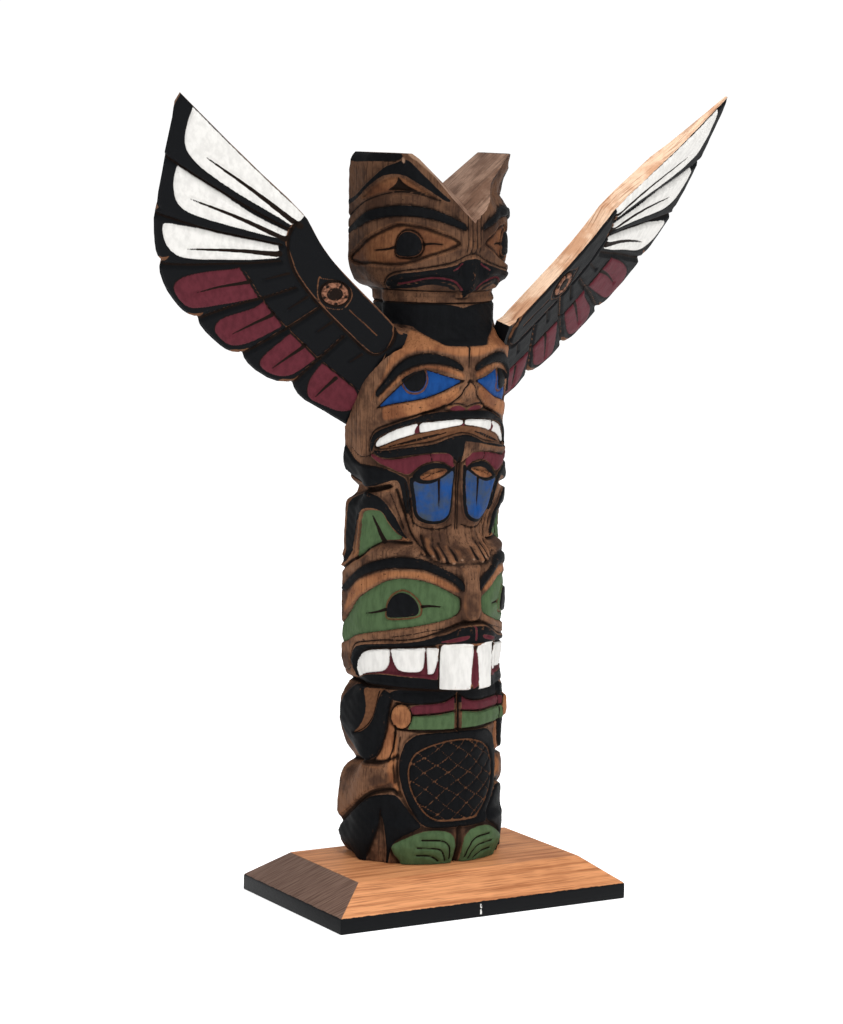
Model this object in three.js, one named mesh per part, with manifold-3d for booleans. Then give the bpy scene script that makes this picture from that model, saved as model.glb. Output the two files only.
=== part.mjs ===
// A souvenir totem pole: a carved and painted post of three figures on a bevelled plinth,
// with a wing board let into a slanting slot on each side of the middle figure.
// Millimetres, +Z up. The figures look along -Y. The origin is the middle of the plinth's underside.
import * as THREE from 'three';
import { mergeVertices } from 'three/addons/utils/BufferGeometryUtils.js';
import Module from 'manifold-3d';

const wasm = await Module();
wasm.setup();

// Driving dimensions

const gap = 0.3; // between two pieces that touch

const plinth = {
  length: 150, // along X
  depth: 93.3, // along Y
  height: 19,
  edge: 7.2, // the upright black edge below the bevel
  bevelEnds: 16.9, // how far the bevel runs in at the two ends
  bevelSides: 14.55, // and at the front and back
};

const pole = {
  width: 74,
  back: 25, // Y of the flat back
  shoulder: 12, // Y where the flat sides end and the round front begins
  height: 321.8, // from the plinth to the tops of the horns
};

const crown = {
  floor: 319, // level of the bottom of the notch between the horns
  opening: 25.5, // half of the notch's width at the top
  flare: 9, // how much wider the notch is at the front face
  flareDepth: 6, // how far back that widening reaches
  rearFlare: 7, // how much wider it is again at the back
  rearFrom: 4, // depth at which that second widening starts
};

const wing = {
  thickness: 9.4, // at the leading edge
  thinning: 3.4, // lost between the leading edge and the feather ends
  tenonOut: 4.5, // how far the board runs on into the pole, against the way of its leading edge
  tenonUp: 2.2, // and how far that part is shifted towards the leading edge
  tipThinning: 6.2, // and between the place below and the tip
  tipFrom: 100, // where the board begins to thin, along the leading edge
  edgeBevel: 4.4, // how far the leading edge slopes back
  cut: 1.8, // depth of the cuts between feathers
  rimCut: 1.3, // and of the cut round the arm
};

// The right wing was drawn a little differently from the left: its arm sits higher on the board, and
// its long feathers hang lower and reach further.
const rightHand = { lift: 5.5, drop: 10, reach: 4.5 };

const carve = {
  // girths at which the carved surface is set out, from the front centre line to the back edge
  columns: [0, 1.2, 2.2, 5, 8.5, 11, 13.2, 14.3, 18, 23, 27, 31, 35, 39.5, 44, 49, 55, 61, 66.9],
  closest: 0.5, // between two rows
  stepWidth: 1, // the height over which the surface jumps at a carver's line
  ovalParts: 24, // straight parts by which the girth of the round front is measured
};

// Levels in the tables below are heights over the plinth's underside on a pole of the drawn height.
const drawn = { footing: 19, height: 321.8, width: 74, girth: 70, sideDepth: 16 };

// Small helpers

const clamp = (value, low, high) => Math.min(high, Math.max(low, value));
const smooth = (t) => {
  const s = clamp(t, 0, 1);
  return s * s * (3 - 2 * s);
};

// A value that runs straight from one [at, value] pair to the next.
function along(table, at) {
  const next = table.findIndex(([start]) => start > at);
  if (next === 0) return table[0][1];
  if (next < 0) return table[table.length - 1][1];
  const [[a, from], [b, to]] = [table[next - 1], table[next]];
  return from + ((to - from) * (at - a)) / (b - a);
}

// Distance from a point to a chain of points; inside a closed chain it is negative.
function distanceTo(chain, closed) {
  const points = closed ? [...chain, chain[0]] : chain;
  const us = points.map(([u]) => u);
  const vs = points.map(([, v]) => v);
  const box = [Math.min(...us), Math.max(...us), Math.min(...vs), Math.max(...vs)];
  return (u, v) => {
    const outside = Math.max(box[0] - u, u - box[1], box[2] - v, v - box[3]);
    if (outside > 6) return outside;
    let nearest = Infinity;
    let inside = false;
    for (let k = 0; k + 1 < points.length; k += 1) {
      const [au, av] = points[k];
      const [bu, bv] = points[k + 1];
      const [du, dv] = [bu - au, bv - av];
      const t = clamp(((u - au) * du + (v - av) * dv) / (du * du + dv * dv), 0, 1);
      nearest = Math.min(nearest, Math.hypot(u - au - t * du, v - av - t * dv));
      if (av > v !== bv > v && u < au + ((v - av) * du) / dv) inside = !inside;
    }
    return closed && inside ? -nearest : nearest;
  };
}

// Ground that stands higher (or lower) than what is round it, with a sloping edge.
function raised(outline, height, edge = 1) {
  const distance = distanceTo(outline, true);
  return (u, v) => height * smooth(0.5 - distance(u, v) / edge);
}

// A knife cut along a line, as wide as given at its mouth.
function cut(line, depth, width = 2) {
  const distance = distanceTo(line, false);
  return (u, v) => -depth * clamp(1 - distance(u, v) / (width / 2), 0, 1);
}

// An oval dome.
function dome(u0, v0, halfWidth, halfHeight, height) {
  return (u, v) => {
    const r = Math.hypot((u - u0) / halfWidth, (v - v0) / halfHeight);
    return height * Math.sqrt(Math.max(0, 1 - r * r));
  };
}

// The plinth

function plinthGeometry() {
  const { length, depth, height, edge, bevelEnds, bevelSides } = plinth;
  const block = new THREE.BoxGeometry(length, depth, height, 1, 1, 2);
  const points = block.attributes.position;
  for (let i = 0; i < points.count; i += 1) {
    const z = points.getZ(i) + height / 2;
    if (z > height - gap) {
      points.setX(i, points.getX(i) - Math.sign(points.getX(i)) * bevelEnds);
      points.setY(i, points.getY(i) - Math.sign(points.getY(i)) * bevelSides);
    }
    points.setZ(i, z > gap && z < height - gap ? edge : z);
  }
  return block;
}

// The pole, as it was roughed out: the centre line of its round front ...
const frontLine = [
  [19, -17.5], [27, -21], [36.5, -21.5], [40, -18], [57, -17.3], [80, -18.4], [98, -18.1],
  [101, -28.5], [125, -28.5], [137, -28.7], [150, -27.8], [157.5, -26.8], [161, -22], [165, -16.5],
  [170, -13.9], [192, -13.8], [203, -14.8], [212, -16.5], [221, -19.4], [228, -18.8], [240, -23.6],
  [246, -22.2], [255, -22.6], [258.5, -18], [264, -15.8], [278.3, -15.5], [280.5, -20.5],
  [285, -22.8], [295, -23.2], [299, -24.6], [308, -23.8], [317, -23.5], [345, -23],
];

// ... its half width ...
const halfWidth = [
  [19, 37], [254, 37], [258, 33], [262, 30.5], [266, 29], [278.5, 29], [280, 30.5], [283, 34.5],
  [287, 36.2], [292, 37], [345, 37],
];

// ... and how far its sides stand out beyond that towards the back, at the waists and bulges.
const sideBulge = [
  [19, -4], [22, -2.2], [26, -0.4], [28, 0], [32.5, -1.5], [35, -1.2], [38, -0.6], [44, -0.9],
  [52, -1.8], [55, -2.4], [58, -3.8], [60, -5.5], [62.5, -7.6], [64, -7.6], [66, -6], [69, -3.6],
  [72, -2.5], [76, -1],
  [81, 0.4], [88, 0.2], [92, -0.4], [95, -2], [98, -4.2], [100, -4.6], [103, -2.2], [106, -1],
  [110, 0.2], [140, 0.4], [153, 0.2], [156, -0.6], [160, -2.2], [175, -2.7], [181, -2.9],
  [183.5, -4], [186, -7], [188.7, -8], [191.6, -4.6], [195, -2.2], [200, -0.4], [216, 0], [258, 0],
  [264, -5], [270, -6], [279, -5], [281, -1.5], [292, -0.2], [333, 0], [338.5, -0.8], [341, -2.2],
];

// Its front corners, midway between the front and the sides, were pared away by this much.
const cornerPared = [
  [19, 0], [33, 0.5], [42, 0.9], [51, 0], [71, 1.4], [92, 0.9], [96, 1.4], [104, 3.2], [110, 3.4],
  [120, 2.4], [132, 2.9], [142, 2.5], [151, 2.3], [158, 3], [162, 1.4], [166, 3.2], [171, 3.9],
  [177, 3.6], [182, 1.8], [187, 0.9], [194, -0.5], [201, 0.5], [210, 1.6], [220, 2.5], [232, 1.4],
  [239, 1.8], [248, 1.2], [257, 0.6], [276, 0.5], [283, 3.2], [289, 1.8], [298, 3.2], [312, 3.5],
  [318, 3.9], [323, 3.6], [330, 2.8], [341, 1.5],
];

// The carver's lines run across one half of the pole as [girth, level] pairs, and the other half is
// the mirror of it. A step is a line where the surface jumps; an ease is one where it only bends.
const step = (...points) => ({ points, jump: carve.stepWidth });
const ease = (...points) => ({ points, jump: 0 });
const heightOf = ({ points }, girth) => along(points, girth);

// Ground between two lines, from one girth to another, standing higher or lower than the rest.
function between(low, high, height, [from, to] = [-9, 99], edge = 1) {
  return (u, v) => {
    const inside = Math.min(v - heightOf(low, u), heightOf(high, u) - v);
    const across = Math.min(u - from, to - u);
    return height * smooth(0.5 + inside / edge) * smooth(0.5 + across / edge);
  };
}

// Ground between two lines that stands highest at the middle of the front and falls away to both sides.
function wedged(low, high, height, drop, [from, to], edge) {
  return (u, v) => {
    const fall = drop * clamp(u / to, 0, 1) ** 1.5;
    return between(low, high, height - fall, [from, to], edge)(u, v);
  };
}

// Ground between two lines that rises to a rounded back.
function rounded(low, high, height, [from, to]) {
  return (u, v) => {
    const [l, h] = [heightOf(low, u), heightOf(high, u)];
    const [s, t] = [(2 * (v - l)) / (h - l) - 1, (2 * (u - from)) / (to - from) - 1];
    return Math.abs(s) < 1 && Math.abs(t) < 1 ? height * Math.sqrt((1 - s * s) * (1 - t ** 4)) : 0;
  };
}

// The lower figure's body: feet, thighs, haunches, tail, arms and hands.
const body = {
  toes: ease([0, 26.5], [32, 24], [70, 24]),
  footTop: step([0, 31], [4, 33.6], [9, 35], [16, 34.8], [24, 31.4], [32, 27.4], [45, 26.5], [70, 28]),
  tailFoot: step([0, 36.6], [17, 36.8], [27, 35], [40, 31.5], [70, 31]),
  tailFoot2: ease([0, 40], [12, 40.5], [20, 42], [30, 41], [45, 37.5], [66, 32.6], [70, 32]),
  thighTop: step([0, 45], [18, 46.5], [24, 49.5], [29, 52.9], [36, 52.1], [40, 50.8], [45, 48],
    [55, 40.6], [66, 34], [70, 33]),
  haunch: ease([0, 53], [24, 56], [36, 57.5], [48, 54], [60, 48], [70, 44]),
  haunchTop: ease([0, 59], [30, 61.5], [45, 60.5], [60, 57], [70, 55]),
  waist: step([0, 64], [30, 65.4], [40, 64.6], [50, 65], [60, 63], [70, 62.4]),
  elbow: ease([0, 70], [30, 70], [42, 68.6], [55, 69.6], [70, 70]),
  tailRim: ease([0, 75.4], [10, 74.6], [20, 73], [30, 75], [50, 76], [70, 77]),
  tailTop: step([0, 80.2], [15, 80], [24, 80.4], [35, 81.5], [70, 82]),
  fingers: step([0, 89.2], [10, 88.3], [22, 87.2], [33, 87.4], [45, 88.6], [70, 89]),
  handFoot: step([0, 95.8], [4, 95], [10, 93], [22, 92], [33, 93.4], [50, 94.5], [70, 94]),
  armTop: ease([0, 97.8], [70, 98]),
};

const beaver = {
  chin: step([0, 100], [30, 99.8], [70, 100]),
  lipFoot: ease([0, 102.5], [50, 102], [57, 101.6], [70, 102]),
  gum: step([0, 105], [16, 105.9], [40, 106.3], [47, 105.6], [54, 103.9], [58, 103.6], [70, 105]),
  teeth: ease([0, 113], [35, 112.4], [50, 109.8], [57, 107.4], [70, 109]),
  lip: step([0, 121.8], [15, 120.1], [30, 118.4], [40, 117.4], [46, 116.4], [52, 113.4], [57, 110.6],
    [70, 112]),
  lipTop: step([0, 130.4], [4, 130.2], [8, 128.4], [13, 125.9], [20, 123.3], [30, 121.7], [40, 120.5],
    [50, 119], [57, 115.8], [62, 115], [70, 115.4]),
  socketFoot: step([0, 134.6], [7, 134.7], [12, 132.6], [20, 130.3], [40, 125.9], [55, 122.2],
    [70, 117.4]),
  pupilFoot: step([0, 137.5], [12, 136.6], [22, 134], [38, 131.3], [48, 129], [60, 123.6], [70, 119.4]),
  eyeMiddle: ease([0, 141], [22, 141], [38, 138], [50, 133.6], [70, 121.4]),
  pupilTop: ease([0, 143], [12, 143], [24, 143.6], [31, 145], [38, 142.4], [50, 136.6], [70, 123]),
  socketTop: step([0, 145], [5, 143], [10, 145.8], [20, 149.8], [30, 150.6], [40, 148.4], [50, 142],
    [60, 132.6], [70, 125]),
  browFoot: step([0, 147.6], [4, 146.4], [10, 150.8], [18, 154.4], [28, 155.4], [40, 154], [50, 150.3],
    [60, 143.3], [70, 136]),
  browTop: step([0, 151.4], [4, 150.4], [10, 154.7], [20, 159.3], [28, 160.1], [38, 159], [50, 154.8],
    [60, 148], [70, 141]),
  crest: step([0, 160.4], [12, 160.6], [18, 163.4], [23, 166.2], [38, 165.9], [45, 163.6], [55, 158.8],
    [70, 150]),
  earFoot: ease([0, 165], [22, 168.6], [34, 169], [46, 166.6], [56, 161.5], [70, 155]),
  earMiddle: ease([0, 170], [28, 173], [42, 173], [56, 170], [70, 167]),
  earRim: step([0, 176.6], [26, 179.6], [38, 180.5], [48, 180.2], [54, 178], [70, 177]),
  earTop: step([0, 183], [28, 186], [38, 187.4], [46, 188.6], [56, 187.2], [70, 183.4]),
};

const bear = {
  armpit: ease([0, 188.6], [28, 190.4], [50, 190.6], [62, 189], [70, 188.4]),
  kneeFoot: step([0, 193.6], [11, 193.6], [17, 193], [24, 194.8], [30, 194.4], [40, 193.6],
    [52, 192.8], [70, 194.4]),
  kneeTop: step([0, 198.8], [5, 199.9], [12, 202.6], [18, 202.1], [24, 198], [32, 199.4], [40, 200.9],
    [52, 201], [60, 203.4], [70, 204.6]),
  jaw: step([0, 202.6], [4, 204], [7, 207], [20, 206.4], [38, 203.7], [46, 204], [56, 204.8],
    [70, 207.4]),
  jawLip: step([0, 214.6], [4, 213.4], [10, 211.6], [20, 210.4], [38, 207.7], [46, 207.6], [70, 211]),
  gum: ease([0, 219.6], [10, 218.2], [20, 216], [28, 214], [38, 210.4], [46, 210], [70, 213]),
  teethTop: step([0, 222.3], [10, 221.9], [22, 220.4], [35, 216.4], [42, 212.6], [48, 212.6],
    [70, 216]),
  lipTop: step([0, 226.4], [10, 226.2], [25, 222.8], [38, 218.2], [44, 215.6], [50, 215.8], [70, 219]),
  cheekFoot: step([0, 229.4], [8, 229.6], [14, 227.5], [24, 224.4], [36, 221.5], [46, 219],
    [70, 222.4]),
  noseMiddle: ease([0, 234], [8, 233], [20, 228.6], [43, 224], [70, 226]),
  eyeFoot: step([0, 239], [3, 238.9], [12, 235.2], [20, 231.6], [30, 229.6], [43, 226.9], [50, 226.4],
    [70, 229.6]),
  eyeTop: step([0, 240.6], [3, 240.8], [10, 242.2], [20, 245], [27, 242.4], [34, 236.2], [43, 229.2],
    [50, 229], [70, 233]),
  browFoot: step([0, 243.8], [3, 244], [13, 247.6], [22, 247.5], [30, 244.3], [37, 238], [43, 232.2],
    [50, 232], [70, 238]),
  browTop: step([0, 247.2], [3, 247], [10, 250.7], [20, 252.4], [29, 249.8], [36, 244], [43, 236.4],
    [50, 237], [70, 244]),
  forehead: step([0, 255.3], [10, 255.6], [16, 258], [25, 259.4], [34, 256.4], [44, 253], [70, 254]),
  neck: ease([0, 261], [70, 262]),
  throat: ease([0, 267], [70, 267]),
};

const topHead = {
  collar: step([0, 274.4], [58, 273.8], [70, 273.8]),
  beakFoot: step([0, 279.3], [70, 280]),
  beakLine: step([0, 281.2], [7, 281.6], [14, 284], [26, 282.8], [40, 281.6], [70, 282.6]),
  mouth: step([0, 283.4], [5, 283.3], [10, 285.5], [15, 286.4], [24, 285.3], [34, 283.6], [42, 283.4],
    [70, 286]),
  beakTop: step([0, 296], [3, 294.6], [10, 291.3], [20, 289.4], [30, 288], [40, 285.8], [50, 287],
    [70, 289.6]),
  socketFoot: step([0, 300], [6, 301], [10, 299], [20, 295.3], [30, 292], [40, 291.1], [57, 290.8],
    [70, 292]),
  pupilFoot: step([0, 302.4], [8, 302], [20, 298], [26, 295.4], [35, 295.2], [45, 294], [70, 293.2]),
  pupilMiddle: ease([0, 303.6], [8, 303], [20, 302.4], [36, 300.4], [50, 297], [70, 294.4]),
  socketTop: step([0, 305], [6, 304], [10, 304.6], [20, 307.7], [33, 309.5], [42, 307.2], [55, 300.8],
    [70, 295.6]),
  browFoot: step([0, 307.4], [4, 306.6], [16, 311.2], [28, 313.1], [40, 312.6], [50, 310.4],
    [64, 305.4], [70, 303]),
  browTop: step([0, 310.8], [4, 310], [12, 314], [22, 317.2], [34, 318], [46, 316.4], [63, 308.8],
    [70, 306.4]),
  band: step([0, 317.4], [12, 319.6], [22, 322.2], [33, 323.9], [42, 322.9], [55, 318.3], [70, 311.4]),
  chevron: ease([0, 320], [14, 321], [24, 324.6], [35, 328.6], [46, 325.4], [58, 319.8], [70, 314.6]),
  archFoot: step([0, 323], [14, 323], [25, 327.6], [33, 331.4], [38, 331.6], [46, 328.6], [58, 321.6],
    [70, 317]),
  archTop: step([0, 329], [20, 331], [33, 335.6], [42, 335], [50, 329.6], [60, 323.4], [70, 320]),
  rim: step([0, 337.2], [70, 337.2]),
};

const features = [
  // feet, with a groove between them, and the hollow in the thigh
  between(body.toes, body.footTop, 1.8, [1.6, 31], 2),
  raised([[32, 19], [33, 30], [36, 42], [40, 32], [45, 19]], -2.2, 1.6),
  cut([[66, 33.5], [55, 40.5], [45, 48], [40, 51], [35, 52.3], [29, 53]], 2, 3.6),
  rounded(body.thighTop, body.waist, 1.6, [29, 90]),
  cut([[60, 62], [50, 65], [40, 64.4], [34, 66]], 3, 5),
  // the tail, standing over the strips of bare wood beside it
  raised([[27, 79], [28, 58], [24, 47], [31, 53], [35, 66], [34, 79]], -1.6, 2),
  raised([[-9, 80.4], [17, 79.5], [24, 77], [27.5, 68], [27.3, 59], [25, 51], [17, 36.5], [-9, 36.5]],
    1.4, 1.6),
  // arms, knuckles and the hands across the breast
  raised([[31, 98], [33, 88], [36, 74], [41, 66], [50, 65.5], [64, 74], [68, 84], [66, 94],
    [60, 98.5]], 1.2, 3.4),
  raised([[37, 99], [40, 88], [44.5, 81], [53, 77], [47, 82], [44.5, 90], [47, 99]], -1.6, 2.4),
  raised([[22, 81], [33, 81], [33, 93], [22, 92]], -1, 1.6),
  dome(27.3, 86.8, 5.2, 6.2, 2.2),
  between(body.tailTop, body.handFoot, -1.3, [-9, 22], 1.2),
  // the beaver's incisors, nose and lips
  wedged(beaver.chin, beaver.lip, 4.4, 3.2, [1.7, 13.6], 1),
  wedged(beaver.lip, beaver.lipTop, 4.2, 2.6, [-9, 15.2], 2.4),
  between(beaver.lipTop, beaver.crest, 1.4, [-9, 4.4], 2),
  between(beaver.gum, beaver.lip, -1.4, [14, 56.6], 1.2),
  between(beaver.lipTop, beaver.socketFoot, -0.5, [16, 64], 1.2),
  // its eyes and brows
  between(beaver.socketFoot, beaver.socketTop, -1.8, [5, 90], 1.2),
  between(beaver.pupilFoot, beaver.pupilTop, 1.6, [22.5, 38.5], 1.2),
  between(beaver.browFoot, beaver.browTop, 0.9, [4, 90], 1),
  cut([[66, 152], [55, 158.8], [45, 163.6], [38, 165.9], [23, 166.2]], 1.5, 3),
  // its ears, each a rim round a hollow
  raised([[24, 166.5], [31, 176], [38, 185.5], [46, 188.5], [56, 187], [70, 182], [70, 151],
    [45, 163.5]], 1.6, 2.4),
  raised([[28, 168], [36, 175.5], [40, 180.4], [48, 180], [51, 174], [54, 164], [60, 155.5], [45, 163],
    [36, 167]], -2.2, 2.4),
  between(beaver.earTop, bear.kneeFoot, -3.6, [30, 50], 2.4),
  // the bear's claws and legs, the knee ovals, the forearms and the shoulders
  ...[2.4, 6.6, 10.6, 14.8].map((u) => cut([[u + 1.6, 159], [u, 166]], 1.2, 3)),
  raised([[2.2, 174.5], [23, 174.5], [24, 185], [27, 196], [36, 200], [44, 205], [20, 208], [6, 208],
    [2.2, 203]], 1.3, 2),
  between(bear.kneeFoot, bear.kneeTop, 0.8, [5, 24]),
  cut([[0, 173], [0, 204]], 1.2, 4),
  between(bear.kneeFoot, bear.kneeTop, 1.2, [25, 90], 1.4),
  // its mouth
  between(bear.jaw, bear.lipTop, 1.3, [-9, 45.6], 1.6),
  between(bear.jawLip, bear.teethTop, -1.5, [-9, 43.4]),
  // its nose, eyes and brows
  rounded(bear.lipTop, bear.eyeFoot, 2.6, [-11, 11]),
  between(bear.cheekFoot, bear.eyeFoot, 0.6, [11, 44], 1.4),
  between(bear.eyeFoot, bear.eyeTop, -1.6, [3, 43], 1.2),
  raised([[31, 239.8], [27, 243.4], [20.3, 244.6], [20.2, 238], [23, 235], [27, 235], [30, 237]],
    1.5, 1.4),
  between(bear.browFoot, bear.browTop, 1, [3, 43.4]),
  // the collar, the beak and the mouth line
  between(topHead.collar, topHead.beakFoot, 0.9),
  wedged(topHead.beakFoot, topHead.beakTop, 3.6, 3.2, [-9, 5], 2),
  between(topHead.mouth, topHead.beakTop, 1.6, [5, 41], 1.4),
  between(topHead.beakLine, topHead.mouth, -0.8, [7, 36]),
  // the top head's eyes, brows and the chevron at the root of each horn
  between(topHead.socketFoot, topHead.socketTop, -1.7, [6, 90], 1.2),
  between(topHead.pupilFoot, topHead.pupilMiddle, 1.5, [23.6, 36.2], 1.2),
  dome(30, 301, 6.6, 5.4, 1.2),
  between(topHead.browFoot, topHead.browTop, 0.9, [4, 90]),
  between(topHead.band, topHead.chevron, -0.8, [14, 90]),
  between(topHead.archFoot, topHead.archTop, 0.8),
  between(topHead.archTop, topHead.rim, -0.7, [42, 90], 1.6),
];

const carving = (u, v) => features.reduce((total, feature) => total + feature(u, v), 0);

// A place on the pole's surface: girth is measured round from the front centre line to the back edge.
function polePoint(girth, level) {
  const scale = pole.width / drawn.width;
  const half = along(halfWidth, level) * scale;
  const reach = pole.shoulder - along(frontLine, level) * scale;
  const parts = carve.ovalParts;
  const quarter = (k) => {
    const turn = (k / parts) * (Math.PI / 2);
    return [half * Math.sin(turn), pole.shoulder - reach * Math.cos(turn)];
  };
  // walk round the quarter oval, then along the flat side
  const lengths = [0];
  for (let k = 1; k <= parts; k += 1) {
    const [[x0, y0], [x1, y1]] = [quarter(k - 1), quarter(k)];
    lengths.push(lengths[k - 1] + Math.hypot(x1 - x0, y1 - y0));
  }
  const wanted = (girth / drawn.girth) * (lengths[parts] + drawn.sideDepth);
  const relief = carving(girth, level)
    + along(sideBulge, level) * smooth((girth - 44) / 14)
    - along(cornerPared, level) * smooth((girth - 8) / 14) * smooth((54 - girth) / 18);
  if (wanted >= lengths[parts]) {
    const y = Math.min(pole.back, pole.shoulder + wanted - lengths[parts]);
    return [half + relief, y];
  }
  const k = lengths.findIndex((length) => length > wanted);
  const part = (wanted - lengths[k - 1]) / (lengths[k] - lengths[k - 1]);
  const [x, y] = quarter(k - 1 + part);
  const normal = [x / half ** 2, (y - pole.shoulder) / reach ** 2];
  const size = Math.hypot(...normal);
  return [x + (relief * normal[0]) / size, y + (relief * normal[1]) / size];
}

// The levels at which the surface is set out at one girth: the lines from foot to top, a step as two
// close rows, and never one row under the row before it.
function rowLevels(girth) {
  const [foot, top] = [drawn.footing, drawn.footing + drawn.height];
  const levels = [foot];
  for (const line of [body, beaver, bear, topHead].flatMap(Object.values)) {
    const level = heightOf(line, girth);
    const rows = line.jump ? [level - line.jump / 2, level + line.jump / 2] : [level];
    rows.forEach((row) => levels.push(Math.max(row, levels[levels.length - 1] + carve.closest)));
  }
  return [...levels, top];
}

// A solid from loose triangles; corners in one place become one vertex.
function solid(triangles, mirrored = false) {
  const geometry = new THREE.BufferGeometry();
  geometry.setAttribute('position', new THREE.Float32BufferAttribute(triangles.flat(2), 3));
  return toManifold(geometry, mirrored);
}

// A three.js shape as a solid; a mirrored one has its faces turned round again.
function toManifold(geometry, mirrored = false) {
  const bare = geometry.clone();
  bare.deleteAttribute('normal');
  bare.deleteAttribute('uv');
  const merged = mergeVertices(bare, 1e-4);
  const corners = merged.index.array;
  for (let k = 0; mirrored && k < corners.length; k += 3) {
    [corners[k + 1], corners[k + 2]] = [corners[k + 2], corners[k + 1]];
  }
  return new wasm.Manifold(new wasm.Mesh({
    numProp: 3,
    vertProperties: new Float32Array(merged.attributes.position.array),
    triVerts: new Uint32Array(merged.index.array),
  }));
}

function toGeometry(manifold) {
  const mesh = manifold.getMesh();
  const geometry = new THREE.BufferGeometry();
  geometry.setAttribute('position', new THREE.Float32BufferAttribute(mesh.vertProperties, 3));
  geometry.setIndex([...mesh.triVerts]);
  const faceted = geometry.toNonIndexed();
  faceted.computeVertexNormals();
  return faceted;
}

function poleSolid() {
  const foot = plinth.height + gap;
  const heightAt = (level) => foot + ((level - drawn.footing) / drawn.height) * (pole.height - gap);
  // one half of the surface, as columns of points from foot to top
  const columns = carve.columns.map((girth, k) => rowLevels(girth).map((level) => {
    const [x, y] = polePoint(girth, level);
    return [k === 0 ? 0 : x, k === carve.columns.length - 1 ? pole.back : y, heightAt(level)];
  }));
  const mirrored = columns.slice(1).reverse().map((column) => column.map(([x, y, z]) => [-x, y, z]));
  const round = [...mirrored, ...columns];
  const rows = round[0].length;
  const triangles = [];
  for (let i = 0; i < round.length; i += 1) {
    const [here, next] = [round[i], round[(i + 1) % round.length]];
    for (let j = 0; j + 1 < rows; j += 1) {
      const [a, b, c, d] = [here[j], next[j], next[j + 1], here[j + 1]];
      // the shorter diagonal follows the carving better
      const falling = Math.hypot(...b.map((value, k) => value - d[k]));
      const rising = Math.hypot(...a.map((value, k) => value - c[k]));
      if (falling < rising) triangles.push([a, b, d], [b, c, d]);
      else triangles.push([a, b, c], [a, c, d]);
    }
    triangles.push([[0, pole.shoulder, here[0][2]], next[0], here[0]]);
    triangles.push([[0, pole.shoulder, here[rows - 1][2]], here[rows - 1], next[rows - 1]]);
  }
  return solid(triangles);
}

// A straight prism along Y from an outline in X and Z.
function prismAlongY(outline, from, to) {
  const shape = new THREE.Shape(outline.map(([x, z]) => new THREE.Vector2(x, z)));
  const geometry = new THREE.ExtrudeGeometry(shape, { depth: to - from, bevelEnabled: false });
  geometry.rotateX(Math.PI / 2);
  geometry.translate(0, to, 0);
  return geometry;
}

// The notch between the horns, wider towards the front.
function crownNotch() {
  const top = plinth.height + pole.height;
  const floor = plinth.height + ((crown.floor - drawn.footing) * pole.height) / drawn.height;
  const front = -pole.width;
  const over = 10; // the cutting shapes run this far past the top of the horns
  const slope = crown.opening / (top - floor);
  const vee = (half, bottom) => {
    const side = half + over * slope;
    return [[-side, top + over], [0, bottom], [side, top + over]];
  };
  // the same vee, opening wider from one depth to another, in front of the first or behind it
  const widening = (from, to, spread) => {
    const flared = prismAlongY(vee(crown.opening + spread, floor - spread), front, 0);
    const points = flared.attributes.position;
    for (let i = 0; i < points.count; i += 1) {
      const behind = points.getY(i) > front / 2;
      const wide = behind === (to > from) ? spread : 0;
      points.setY(i, behind ? Math.max(from, to) : Math.min(from, to));
      const x = points.getX(i);
      if (x === 0) points.setZ(i, floor - wide);
      else points.setX(i, Math.sign(x) * (crown.opening + over * slope + wide));
    }
    return toManifold(flared);
  };
  const main = toManifold(prismAlongY(vee(crown.opening, floor), front, pole.back * 2));
  const face = along(frontLine, crown.floor) + 4; // the front flare starts at the face of the horns
  const opened = widening(face + crown.flareDepth, face - crown.flareDepth, crown.flare);
  const run = (pole.back + over - crown.rearFrom) / (pole.back - crown.rearFrom);
  return main.add(opened).add(widening(crown.rearFrom, pole.back + over, crown.rearFlare * run));
}

// The wings. Each is drawn in the plane of its board's front face: "out" runs along the leading edge
// from the pole to the tip, and "down" runs across the feathers. Points are [out, -down].
const board = {
  origin: [30, -19.05, 270], // the corner from which the drawing is measured, for the right wing
  out: new THREE.Vector3(0.74778, 0.01629, 0.66375),
  up: new THREE.Vector3(-0.46168, -0.7057, 0.53744),
};

const wingOutline = [
  [-4, -9.5], [0, -8.9], [28, -8.9], [41, -8.2], [52, -6.4], [60, -4], [67, -1.9], [100, -3.4],
  [146, -3.2], [143.5, -9.5], [128.5, -29.4], [127, -31], [112, -49.6], [109.4, -50.4],
  [109.3, -53.6], [99, -63], [92, -68], [88.2, -68.2], [86, -72.4], [77, -77], [68, -79],
  [61, -79.2], [56.6, -76.6], [50.4, -79], [40, -79], [33.4, -77.8], [30, -74.2], [21, -76],
  [9, -73], [3.9, -67], [-5.6, -69.3], [-15, -66.4], [-30, -62.6],
];

const featherCuts = [
  [[66, -13], [80, -18], [95, -22.4], [110, -26.6], [130, -31]],
  [[62, -21], [75, -31.6], [90, -43.2], [110, -55]],
  [[56, -27], [62, -37], [70, -48], [80, -62], [88, -71]],
  [[41, -31], [45, -45], [50, -57], [56, -78]],
  [[26.5, -30], [26.5, -45], [27.5, -60], [29, -77]],
  [[8, -31], [6.5, -40], [5, -52], [2, -68]],
];

const armRim = [
  [-4, -11], [-8.5, -16], [-9.8, -22], [-8, -27.4], [-2, -28.8], [28, -28.8], [40, -27.4],
  [50, -25.2], [58, -20.4], [64, -15], [67, -9],
];

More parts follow.
